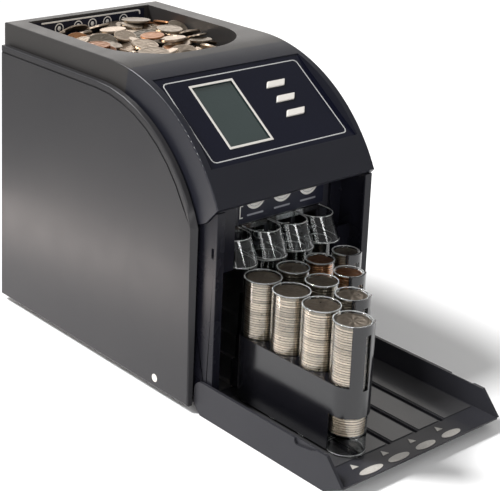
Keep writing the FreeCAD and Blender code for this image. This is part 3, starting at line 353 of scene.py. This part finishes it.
def lathe(profile, sides):
    """Rings and faces of a closed turned solid. The profile runs from one pole to the other."""
    angle = np.linspace(0, 2 * math.pi, sides, endpoint=False)
    points = [(0.0, 0.0, profile[0][1])]
    for radius, height in profile[1:-1]:
        points += [(radius * math.cos(a), radius * math.sin(a), height) for a in angle]
    points.append((0.0, 0.0, profile[-1][1]))
    faces = [[0, 1 + k, 1 + (k + 1) % sides] for k in range(sides)]
    for level in range(len(profile) - 3):
        start = 1 + level * sides
        faces += [[start + k, start + sides + k, start + sides + (k + 1) % sides, start + (k + 1) % sides]
                  for k in range(sides)]
    last, end = 1 + (len(profile) - 3) * sides, len(points) - 1
    faces += [[last + (k + 1) % sides, last + k, end] for k in range(sides)]
    return np.array(points), faces


COIN_SIDES = 44
STACK_SIDES = 40
# Height of the petals on a coin's faces, in millimetres, and where they lie, as shares of its radius.
PETAL_HIGH = 0.09
PETAL_FROM, PETAL_TO = 0.2, 0.7
# Tones of stacked coins, where 1 is clean and bright. Coins of like tone follow each other.
FIRST_BATCH = (0.7, 1.0)
NEXT_BATCH = (0.45, 1.0)
NEXT_BATCH_CHANCE = 0.4
TONE_SPREAD = 0.12
TONE_LIMITS = (0.2, 1.0)
# How far stacked coins lie out of line, in millimetres.
USUAL_SLIP = 0.13
MOST_SLIP = 0.3
# Coins: radius and thickness in millimetres, petals of the plain relief, copper or not.
COINS = {
    "quarter": (12.13, 1.75, 8, 0),
    "nickel": (10.61, 1.95, 6, 0),
    "penny": (9.53, 1.52, 5, 1),
    "dime": (8.96, 1.35, 7, 0),
}


def coin_shape(kind):
    """One coin lying flat about its middle, with raised rims and a plain petal relief."""
    radius, thick, petals, _ = COINS[kind]
    half = thick / 2
    # Share of the radius, and depth below the rim in millimetres.
    face = [(0.0, 0.10), (0.16, 0.04), (0.30, 0.03), (0.44, 0.12), (0.56, 0.05), (0.66, 0.14), (0.80, 0.15),
            (0.86, 0.0), (0.955, 0.0), (1.0, 0.22)]
    profile = [(share * radius, half - depth) for share, depth in face]
    profile += [(r, -h) for r, h in reversed(profile)]
    points, faces = lathe(profile, COIN_SIDES)
    distance = np.hypot(points[:, 0], points[:, 1]) / radius
    angle = np.arctan2(points[:, 1], points[:, 0])
    in_petals = (distance > PETAL_FROM) & (distance < PETAL_TO)
    relief = np.where(in_petals, PETAL_HIGH * np.cos(petals * angle), 0.0)
    points[:, 2] += relief * np.sign(points[:, 2])
    return points * MM, faces


def stack_shape(kind):
    """A coin as it shows in a stack: its edge and rims."""
    radius, thick, _, _ = COINS[kind]
    half = thick / 2
    profile = [(0.0, half - 0.12), (0.84 * radius, half - 0.12), (0.88 * radius, half - 0.01),
               (radius - 0.40, half - 0.01), (radius - 0.10, half - 0.16), (radius, half - 0.36)]
    profile += [(r, -h) for r, h in reversed(profile)]
    points, faces = lathe(profile, STACK_SIDES)
    return points * MM, faces


def painted_coin_shade(kind, points):
    """How bright each point of a stacked coin is: full tone on the edge, and painted shade at the joints,
    rims and faces.
    """
    radius, thick, _, _ = COINS[kind]
    out = np.hypot(points[:, 0], points[:, 1]) / (radius * MM)
    level = np.abs(points[:, 2]) / (thick * MM / 2)
    # Shares of the radius where the rim and the edge begin, and of half the thickness for the joint.
    rim_from, edge_from, joint_from = 0.93, 0.985, 0.62
    # Painted shade: the joints, rims and faces are darker than the edge, which keeps the coin's full tone.
    full_tone, painted_joint_shade, rim, face = 1.0, 0.25, 0.15, 0.40
    on_edge = np.where(level < joint_from, full_tone, painted_joint_shade)
    on_face = np.where(out > rim_from, rim, face)
    return np.where(out > edge_from, on_edge, on_face)


def coin_stacks():
    """Each solid stack becomes separate coins, a little out of line with each other."""
    flat = {kind: stack_shape(kind) for kind in COINS}
    topmost = {kind: coin_shape(kind) for kind in COINS}
    for name in sorted(NODES):
        if not name.startswith("coins_"):
            continue
        kind = name.split("_")[1]
        _, thick, _, copper = COINS[kind]
        mesh = Mesh()
        for center, low, high in islands(NODES[name]):
            count = max(1, round((high - low) / (thick * MM)))
            step = (high - low) / count
            batch = RANDOM.uniform(*FIRST_BATCH)
            for number in range(count):
                if RANDOM.random() < NEXT_BATCH_CHANCE:
                    batch = RANDOM.uniform(*NEXT_BATCH)
                tone = float(np.clip(batch + RANDOM.normal(0, TONE_SPREAD), *TONE_LIMITS))
                points, faces = topmost[kind] if number == count - 1 else flat[kind]
                turn = Matrix.Rotation(RANDOM.uniform(0, FULL_TURN), 3, "Z")
                slip = RANDOM.normal(0, USUAL_SLIP, 2).clip(-MOST_SLIP, MOST_SLIP) * MM
                place = np.array([center[0] + slip[0], center[1] + slip[1], low + (number + 0.5) * step])
                # Painted shade on each coin's joints, rims and faces, times the coin's own tone.
                light = painted_coin_shade(kind, points)
                mesh.add(points @ np.array(turn).T + place, faces, 0, light * tone)
        material = LOOKS["coin_copper" if copper else "coin_nickel"]
        piece = mesh.finish("stack_" + name, NODES[name]["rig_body"], [material])
        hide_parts(name)


def islands(node):
    """Middle, lowest and highest point of each separate upright stack in a node."""
    points = np.array([vertex.co for vertex in node.data.vertices])
    least_gap = 0.003
    own_share = 1.05
    ordered = np.sort(points[:, 1])
    starts = [ordered[0]]
    for first, second in zip(ordered, ordered[1:]):
        if second - first > least_gap:
            starts.append(second)
    left, right = points[:, 0].min(), points[:, 0].max()
    radius = (right - left) / 2
    result = []
    for start in starts:
        middle = start + radius
        heights = points[np.abs(points[:, 1] - middle) < radius * own_share][:, 2]
        center = (float((right + left) / 2), float(middle))
        result.append((center, float(heights.min()), float(heights.max())))
    return result


# ------------------------------------------------------------------ the heap

HEAP_TRIES = 1500
HEAP_MOST = 420
# How often each kind falls, in the order of COINS.
HEAP_SHARES = (0.48, 0.27, 0.07, 0.18)
# The steepest slope that a coin takes, and how it follows the ground under it.
STEEPEST = 0.75
SLOPE_SHARE = 0.9
SLOPE_SPREAD = 0.20
# How much of the ground under a coin lies below its lower face, in percent.
SUPPORT = 97
# Shape of the tones' distribution: more bright coins than dark ones.
HEAP_TONES = (2.2, 1.5)
# Lengths in metres: the height map's cell, the tub's round front corners and the room left free.
HEAP_CELL = 0.0010
TUB_CORNER = 0.045
SIDE_ROOM = 0.0005
BACK_ROOM = 0.0006
TOP_ROOM = 0.0002
LEAST_ROOM = 0.0012
# The heap's surface: how far its border lies below its top, how far it rises, and its depth.
HEAP_DROP = 0.0160
HEAP_RISE = 0.0150
HEAP_DEEP = 0.010
# Where the heap's highest point lies along the tub, and how wide and long its dome is.
DOME_MIDDLE = 0.55
DOME_WIDE = 1.25
DOME_LONG = 0.62


def heap():
    """Loose coins dropped one by one onto a height map, so that they lie on each other."""
    low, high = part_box("hopper_coins")
    _, rim_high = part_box("hopper")
    half_x = high.x - SIDE_ROOM
    long_y = high.y - low.y
    xs = np.arange(low.x, high.x + HEAP_CELL, HEAP_CELL)
    ys = np.arange(low.y, high.y + HEAP_CELL, HEAP_CELL)
    grid_x, grid_y = np.meshgrid(xs, ys, indexing="ij")
    middle_y = low.y + DOME_MIDDLE * long_y
    inner_x = np.clip(np.abs(grid_x) - (half_x - TUB_CORNER), 0, None)
    inner_y = np.clip((low.y + TUB_CORNER) - grid_y, 0, None)
    inside = (np.hypot(inner_x, inner_y) < TUB_CORNER) & (grid_y < high.y - BACK_ROOM)
    across = grid_x / (half_x * DOME_WIDE)
    lengthways = (grid_y - middle_y) / (DOME_LONG * long_y)
    dome = 1 - (across ** 2 + lengthways ** 2)
    target = high.z - HEAP_DROP + HEAP_RISE * np.clip(dome, 0, 1)
    ground = target - HEAP_DEEP
    ground[~inside] = rim_high.z
    shapes = {kind: coin_shape(kind) for kind in COINS}
    kinds = list(COINS)
    mesh = Mesh()
    placed = 0
    for _ in range(HEAP_TRIES):
        room = np.where(inside, target - ground, -1.0)
        if placed > HEAP_MOST or room.max() < LEAST_ROOM:
            break
        kind = kinds[RANDOM.choice(len(kinds), p=HEAP_SHARES)]
        radius, thick, _, copper = COINS[kind]
        radius, thick = radius * MM, thick * MM
        weights = np.clip(room, 0, None).ravel() ** 2
        pick = RANDOM.choice(weights.size, p=weights / weights.sum())
        x, y = grid_x.ravel()[pick], grid_y.ravel()[pick]
        x = float(np.clip(x, -half_x + radius, half_x - radius))
        y = float(np.clip(y, low.y + radius, high.y - radius))
        near = (grid_x - x) ** 2 + (grid_y - y) ** 2 < radius ** 2
        if not inside[near].all():
            continue
        dx, dy, h = grid_x[near] - x, grid_y[near] - y, ground[near]
        fit = np.linalg.lstsq(np.column_stack([dx, dy, np.ones_like(dx)]), h, rcond=None)[0]
        slope = np.array(fit[:2]) * SLOPE_SHARE + RANDOM.normal(0, SLOPE_SPREAD, 2)
        steep = np.hypot(*slope)
        if steep > STEEPEST:
            slope *= STEEPEST / steep
        plane = slope[0] * dx + slope[1] * dy
        base = float(np.percentile(h - plane, SUPPORT))
        top = base + plane + thick
        if top.max() > high.z - TOP_ROOM:
            continue
        ground[near] = np.maximum(ground[near], top)
        normal = Vector((-slope[0], -slope[1], 1.0)).normalized()
        spin = Matrix.Rotation(RANDOM.uniform(0, FULL_TURN), 3, "Z")
        lean = Vector((0, 0, 1)).rotation_difference(normal).to_matrix()
        points, faces = shapes[kind]
        place = np.array([x, y, base + thick / 2])
        tone = float(RANDOM.beta(*HEAP_TONES))
        mesh.add(points @ np.array(lean @ spin).T + place, faces, copper, tone)
        placed += 1
    piece = mesh.finish("coin_heap", "machine", [LOOKS["coin_nickel"], LOOKS["coin_copper"]])
    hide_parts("hopper_coins")
    print("coins in the heap:", placed)


# --------------------------------------------------------- printed trimmings

# The middle of each row of tubes, in metres.
ROW_X = {"quarter": -0.0402, "nickel": -0.0113, "penny": 0.0154, "dime": 0.0420}
# Height of raised print, and the half width of a line's flat top as a share of the line.
PRINT_HIGH = 0.00012
LINE_TOP = 0.36


class Flat:
    """A sloping or upright face of the object, for thin raised print on it."""

    def __init__(self, origin, right, up):
        self.origin, self.right, self.up = Vector(origin), Vector(right), Vector(up)
        self.out = self.right.cross(self.up).normalized()

    def at(self, u, v, n=0.0):
        return self.origin + self.right * u + self.up * v + self.out * n


def ribbon(mesh, flat, path, wide, high=PRINT_HIGH, closed=False, slot=0):
    """A thin raised line along a path on a flat, with a rounded top."""
    points = [Vector((u, v, 0)) for u, v in path]
    count = len(points)
    section = ((-wide / 2, 0.0), (-wide * LINE_TOP, high), (wide * LINE_TOP, high), (wide / 2, 0.0))
    least_turn = 0.5
    rows = []
    for k, point in enumerate(points):
        before = points[(k - 1) % count] if closed or k > 0 else point
        after = points[(k + 1) % count] if closed or k < count - 1 else point
        first = (point - before).normalized() if before != point else (after - point).normalized()
        second = (after - point).normalized() if after != point else first
        along = (first + second).normalized()
        side = Vector((-along.y, along.x, 0))
        stretch = 1 / max(least_turn, side.dot(Vector((-first.y, first.x, 0))))
        rows.append([flat.at(point.x + side.x * s * stretch, point.y + side.y * s * stretch, n)
                     for s, n in section])
    vertices = [tuple(p) for row in rows for p in row]
    faces = []
    for k in range(count if closed else count - 1):
        a, b = 4 * k, 4 * ((k + 1) % count)
        faces += [[a + j + 1, a + j, b + j, b + j + 1] for j in range(3)]
        faces.append([a, a + 3, b + 3, b])
    if not closed:
        faces += [[0, 1, 2, 3], [4 * count - 1, 4 * count - 2, 4 * count - 3, 4 * count - 4]]
    mesh.add(vertices, faces, slot)


def patch(mesh, flat, rim, high=PRINT_HIGH, slot=0):
    """A thin raised patch with the given rim and a small rounded edge."""
    edge, least = 0.0002, 0.0004
    rim = [Vector((u, v, 0)) for u, v in rim]
    middle = sum(rim, Vector()) / len(rim)
    count = len(rim)
    vertices = [tuple(flat.at(p.x, p.y, 0.0)) for p in rim]
    shrunk = [middle + (p - middle) * (1 - edge / max((p - middle).length, least)) for p in rim]
    vertices += [tuple(flat.at(p.x, p.y, high)) for p in shrunk]
    faces = [[k, (k + 1) % count, count + (k + 1) % count, count + k] for k in range(count)]
    faces += [list(range(count, 2 * count)), list(range(count - 1, -1, -1))]
    mesh.add(vertices, faces, slot)


def rounded(low, high, corner, steps=6):
    """Corner points of a rectangle with round corners."""
    rim = []
    for cx, cy, start in ((high[0] - corner, high[1] - corner, 0), (low[0] + corner, high[1] - corner, 90),
                          (low[0] + corner, low[1] + corner, 180), (high[0] - corner, low[1] + corner, 270)):
        for step in range(steps + 1):
            a = math.radians(start + 90 * step / steps)
            rim.append((cx + corner * math.cos(a), cy + corner * math.sin(a)))
    return rim


def ring(cx, cy, rx, ry=None, sides=40):
    """Points of a circle, of an ellipse, or of a regular shape with a few sides."""
    ry = rx if ry is None else ry
    turns = [math.radians(360.0 * k / sides) for k in range(sides)]
    return [(cx + rx * math.cos(a), cy + ry * math.sin(a)) for a in turns]


def control_flat():
    """The control facet, from the overlay's own corners."""
    low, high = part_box("control_overlay")
    near = 0.002
    points = np.array([vertex.co for vertex in NODES["control_overlay"].data.vertices])
    front = points[points[:, 2] < low.z + near]
    lip = front[np.argmin(front[:, 1])]
    rear = points[points[:, 2] > high.z - near]
    crest = rear[np.argmax(rear[:, 2])]
    up = Vector((0, crest[1] - lip[1], crest[2] - lip[2])).normalized()
    return Flat((0.0, lip[1], lip[2]), (1, 0, 0), up)


def panel_print():
    """The silver line round the control panel."""
    half_wide = 65.5 * MM
    base = 4.6 * MM
    tall = 72.2 * MM
    corner = 3.5 * MM
    line = 0.9 * MM
    mesh = Mesh()
    frame_line = rounded((-half_wide, base), (half_wide, base + tall), corner)
    ribbon(mesh, control_flat(), frame_line, line, closed=True)
    mesh.finish("panel_outline", "machine", [SILVER_INK])


def chute_print():
    """Plain discs, bars and one hook-shaped line on the label behind the chutes."""
    low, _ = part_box("chute_label")
    flat = Flat((0.0, low.y, 0.0), (1, 0, 0), (0, 0, 1))
    disc_z = 143.4 * MM
    raised = 0.2 * MM
    bar_low, bar_high, bar_half = 128.8 * MM, 130.2 * MM, 8.0 * MM
    hook_low, hook_high, hook_x, hook_end = 128.5 * MM, 137.5 * MM, -26.2 * MM, -23.5 * MM
    mesh = Mesh()
    for kind in ("nickel", "penny", "dime"):
        x = ROW_X[kind]
        patch(mesh, flat, ring(x, disc_z, 10.3 * MM))
        ribbon(mesh, flat, ring(x, disc_z, 8.2 * MM), 0.4 * MM, raised, closed=True, slot=1)
        patch(mesh, flat, ring(x, disc_z, 3.4 * MM, sides=6), raised, slot=1)
        patch(mesh, flat, rounded((x - bar_half, bar_low), (x + bar_half, bar_high), 0.6 * MM), slot=1)
    hook = [(hook_end, hook_high), (hook_x, hook_high), (hook_x, hook_low), (hook_end, hook_low)]
    ribbon(mesh, flat, hook, 0.9 * MM)
    mesh.finish("chute_print", "machine", [PALE_INK, DIM_INK])


def hopper_print():
    """The silver frame line and five plain round pictures inside the hopper's back wall."""
    low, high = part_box("hopper_label")
    flat = Flat((0.0, low.y, 0.0), (1, 0, 0), (0, 0, 1))
    top = high.z - 1.2 * MM
    picture_z = high.z - 7.2 * MM
    mesh = Mesh()
    frame_line = [(-48.6 * MM, top), (50.0 * MM, top), (52.0 * MM, top - 0.8 * MM),
                  (52.5 * MM, top - 3.5 * MM)]
    ribbon(mesh, flat, frame_line, 1.4 * MM)
    pictures_x = (-31.0, -12.0, 2.5, 18.0, 35.0)
    for x in pictures_x:
        ribbon(mesh, flat, ring(x * MM, picture_z, 4.0 * MM), 0.9 * MM, closed=True)
        patch(mesh, flat, ring(x * MM, picture_z, 1.8 * MM, 2.2 * MM, sides=6))
    mesh.finish("hopper_print", "machine", [PALE_INK])


# ------------------------------------------------------------- clear edges with a painted highlight

# Steps round a bead, round a tube's rim and along a chute guard's edge.
BEAD_SIDES = 8
RIM_STEPS = 56
GUARD_STEPS = 25


def bead(mesh, path, radius, closed=False):
    """A thin round rod along a path in space."""
    sides = BEAD_SIDES
    points = [Vector(point) for point in path]
    count = len(points)
    vertices = []
    for k, point in enumerate(points):
        before = points[(k - 1) % count] if closed or k > 0 else point
        after = points[(k + 1) % count] if closed or k < count - 1 else point
        along = (after - before).normalized()
        side = along.cross(Vector((0, 0, 1)))
        side = side.normalized() if side.length > 0.1 else Vector((1, 0, 0))
        lift = side.cross(along)
        vertices += [tuple(point + (side * math.cos(a) + lift * math.sin(a)) * radius)
                     for a in (2 * math.pi * n / sides for n in range(sides))]
    faces = []
    for k in range(count if closed else count - 1):
        a, b = sides * k, sides * ((k + 1) % count)
        faces += [[a + n, a + (n + 1) % sides, b + (n + 1) % sides, b + n] for n in range(sides)]
    if not closed:
        faces += [list(range(sides - 1, -1, -1)), list(range(sides * (count - 1), sides * count))]
    mesh.add(vertices, faces)


def tube_rims():
    """The mouths and bottom edges of the clear tubes as thin beads with a painted highlight, which show as
    bright rings.
    """
    mouth, foot = 0.34 * MM, 0.30 * MM
    inset, foot_up = 0.62 * MM, 0.70 * MM
    turns = np.linspace(0, 2 * math.pi, RIM_STEPS, endpoint=False)
    for name in sorted(NODES):
        if not name.startswith(("tube_", "inner_tubes_")):
            continue
        low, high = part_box(name)
        radius = (high.x - low.x) / 2 - inset
        mesh = Mesh()
        for (x, y), _, top in islands(NODES[name]):
            circle = [(x + radius * math.cos(a), y + radius * math.sin(a)) for a in turns]
            bead(mesh, [(px, py, top - mouth) for px, py in circle], mouth, closed=True)
            bead(mesh, [(px, py, low.z + foot_up) for px, py in circle], foot, closed=True)
        mesh.finish("rim_" + name, NODES[name]["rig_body"], [PAINTED_GLINT])


def chute_edges():
    """The cut edges of the four chute guards, top and bottom, as thin beads with a painted highlight.

    Each guard is a tilted half tube, so a level cut through it is half an ellipse.
    """
    low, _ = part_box("coin_chutes")
    tilt = math.radians(23.0)
    radius, axis_y, axis_z, back_y = 12.5 * MM, -42.5 * MM, 122.8 * MM, -34.5 * MM
    # Height and bead radius of the top and the bottom edge.
    edges = ((axis_z - 0.3 * MM, 0.28 * MM), (low.z + 0.4 * MM, 0.32 * MM))
    mesh = Mesh()
    for x in ROW_X.values():
        for level, size in edges:
            path = []
            for a in np.linspace(math.pi, 2 * math.pi, GUARD_STEPS):
                along = (level - axis_z + radius * math.sin(a) * math.sin(tilt)) / math.cos(tilt)
                path.append((x + radius * math.cos(a),
                             axis_y + along * math.sin(tilt) + radius * math.sin(a) * math.cos(tilt), level))
            first, last = path[0], path[-1]
            path = [(first[0], back_y, level)] + path + [(last[0], back_y, level)]
            bead(mesh, path, size)
    mesh.finish("chute_edges", "machine", [PAINTED_GLINT])


# --------------------------------------------------------------- the studio

# Half the floor's width, in metres, and how far it lies below the feet.
FLOOR_REACH = 14.0
FLOOR_DOWN = 0.0002
# Painted shade: the floor's colour darkens from near to far, in metres along a line that is turned by so many
# degrees.
FLOOR_NEAR = (0.87, 0.87, 0.87, 1.0)
FLOOR_PAINTED_SHADE = (0.40, 0.395, 0.38, 1.0)
FADE_FROM, FADE_TO = 0.30, 0.78
FADE_TURN = -39.4
# Strength of the white surroundings, then strength, angle in degrees and direction of the sun.
WORLD_STRENGTH = 0.32
SUN_STRENGTH = 4.6
SUN_ANGLE = 16
SUN_WAY = (0.42, -0.46, -0.78)
# Soft lights: name, place, target, width, height, power and colour.
LIGHTS = [
    ("left", (-1.3, -0.5, 0.45), (0, -0.1, 0.08), 0.5, 0.7, 4.0, (1, 1, 1)),
    ("front", (-0.45, -1.5, 0.8), (0, -0.1, 0.08), 0.6, 0.4, 7.0, (1, 1, 1)),
    ("low", (-0.20, 0.19, 0.010), (-0.09, 0.17, 0.03), 0.42, 0.03, 0.27, (1.0, 0.88, 0.82)),
    ("behind", (1.7, 2.1, 0.95), (0, 0, 0.2), 3.0, 1.0, 15.0, (1.0, 0.96, 0.92)),
]
# The camera: place in metres, turns in degrees, lens in millimetres and off-centre shift.
VIEW_PLACE = (-0.68068, -0.74038, 0.49185)
VIEW_YAW, VIEW_PITCH, VIEW_ROLL = -39.434, 13.797, 1.615
SENSOR_WIDE = 36.0
LENS = 102.19
SHIFT_X, SHIFT_Y = 0.1695, -0.4023
CLIP_NEAR, CLIP_FAR = 0.05, 20.0


def area(name, place, target, wide, high, power, color):
    """A soft rectangular light that the camera itself doesn't see."""
    data = bpy.data.lights.new(name, "AREA")
    data.shape = "RECTANGLE"
    data.size, data.size_y = wide, high
    data.energy = power
    data.color = color
    lamp = bpy.data.objects.new(name, data)
    lamp.location = place
    lamp.rotation_euler = (Vector(target) - Vector(place)).to_track_quat("-Z", "Y").to_euler()
    lamp.visible_camera = False
    bpy.context.scene.collection.objects.link(lamp)


def floor_paper():
    """Pale paper with painted shade: its colour darkens towards the back left, where the left side panel
    mirrors it.
    """
    paper = Shader("floor_paper", FLOOR_NEAR, 0.8)
    turned = paper.add("ShaderNodeMapping")
    turned.inputs["Rotation"].default_value = (0.0, 0.0, math.radians(FADE_TURN))
    paper.join(paper.coordinates(), "Object", turned, "Vector")
    split = paper.add("ShaderNodeSeparateXYZ")
    paper.join(turned, "Vector", split, "Vector")
    away = paper.spread(split, "Y", 0.0, 1.0, FADE_FROM, FADE_TO)
    # Painted shade: the ramp darkens the paper's colour away from the near side.
    shade = paper.add("ShaderNodeValToRGB")
    shade.color_ramp.elements[0].color = FLOOR_NEAR
    shade.color_ramp.elements[1].color = FLOOR_PAINTED_SHADE
    paper.join(away, "Result", shade, "Fac")
    paper.join(shade, "Color", paper.shader, "Base Color")
    return paper.material


def lay_floor():
    """The wide pale floor that the machine stands on."""
    reach = FLOOR_REACH
    data = bpy.data.meshes.new("floor")
    corners = [(-reach, -reach, 0), (reach, -reach, 0), (reach, reach, 0), (-reach, reach, 0)]
    data.from_pydata(corners, [], [[0, 1, 2, 3]])
    floor = bpy.data.objects.new("floor", data)
    floor.location.z = -FLOOR_DOWN
    bpy.context.scene.collection.objects.link(floor)
    floor.data.materials.append(floor_paper())


def sun():
    """The key light: a soft sun from high up behind on the left."""
    data = bpy.data.lights.new("high", "SUN")
    data.energy = SUN_STRENGTH
    data.angle = math.radians(SUN_ANGLE)
    lamp = bpy.data.objects.new("high", data)
    lamp.rotation_euler = Vector(SUN_WAY).to_track_quat("-Z", "Y").to_euler()
    bpy.context.scene.collection.objects.link(lamp)


def studio():
    """White surroundings, the key light and weaker soft fills."""
    world = bpy.data.worlds.new("studio")
    world.use_nodes = True
    surroundings = world.node_tree.nodes["Background"]
    surroundings.inputs["Color"].default_value = (1.0, 1.0, 1.0, 1.0)
    surroundings.inputs["Strength"].default_value = WORLD_STRENGTH
    bpy.context.scene.world = world
    bpy.context.scene.view_settings.view_transform = "Standard"
    sun()
    for light in LIGHTS:
        area(*light)


def camera():
    """The photograph's camera: where it stood, how it was turned, and its off-centre frame."""
    yaw, pitch, roll = (math.radians(angle) for angle in (VIEW_YAW, VIEW_PITCH, VIEW_ROLL))
    back = Vector((math.sin(yaw) * math.cos(pitch), -math.cos(yaw) * math.cos(pitch), math.sin(pitch)))
    right = (-back).cross(Vector((0, 0, 1))).normalized()
    up = right.cross(-back).normalized()
    turned_right = math.cos(roll) * right + math.sin(roll) * up
    turned_up = -math.sin(roll) * right + math.cos(roll) * up
    data = bpy.data.cameras.new("camera")
    data.sensor_width = SENSOR_WIDE
    data.lens = LENS
    data.shift_x, data.shift_y = SHIFT_X, SHIFT_Y
    data.clip_start, data.clip_end = CLIP_NEAR, CLIP_FAR
    view = bpy.data.objects.new("camera", data)
    turn = Matrix((turned_right, turned_up, back)).transposed().to_4x4()
    view.matrix_world = Matrix.Translation(VIEW_PLACE) @ turn
    bpy.context.scene.collection.objects.link(view)
    bpy.context.scene.camera = view


camera()
lay_floor()
studio()
dress_nodes()
coin_stacks()
heap()
panel_print()
chute_print()
hopper_print()
tube_rims()
chute_edges()
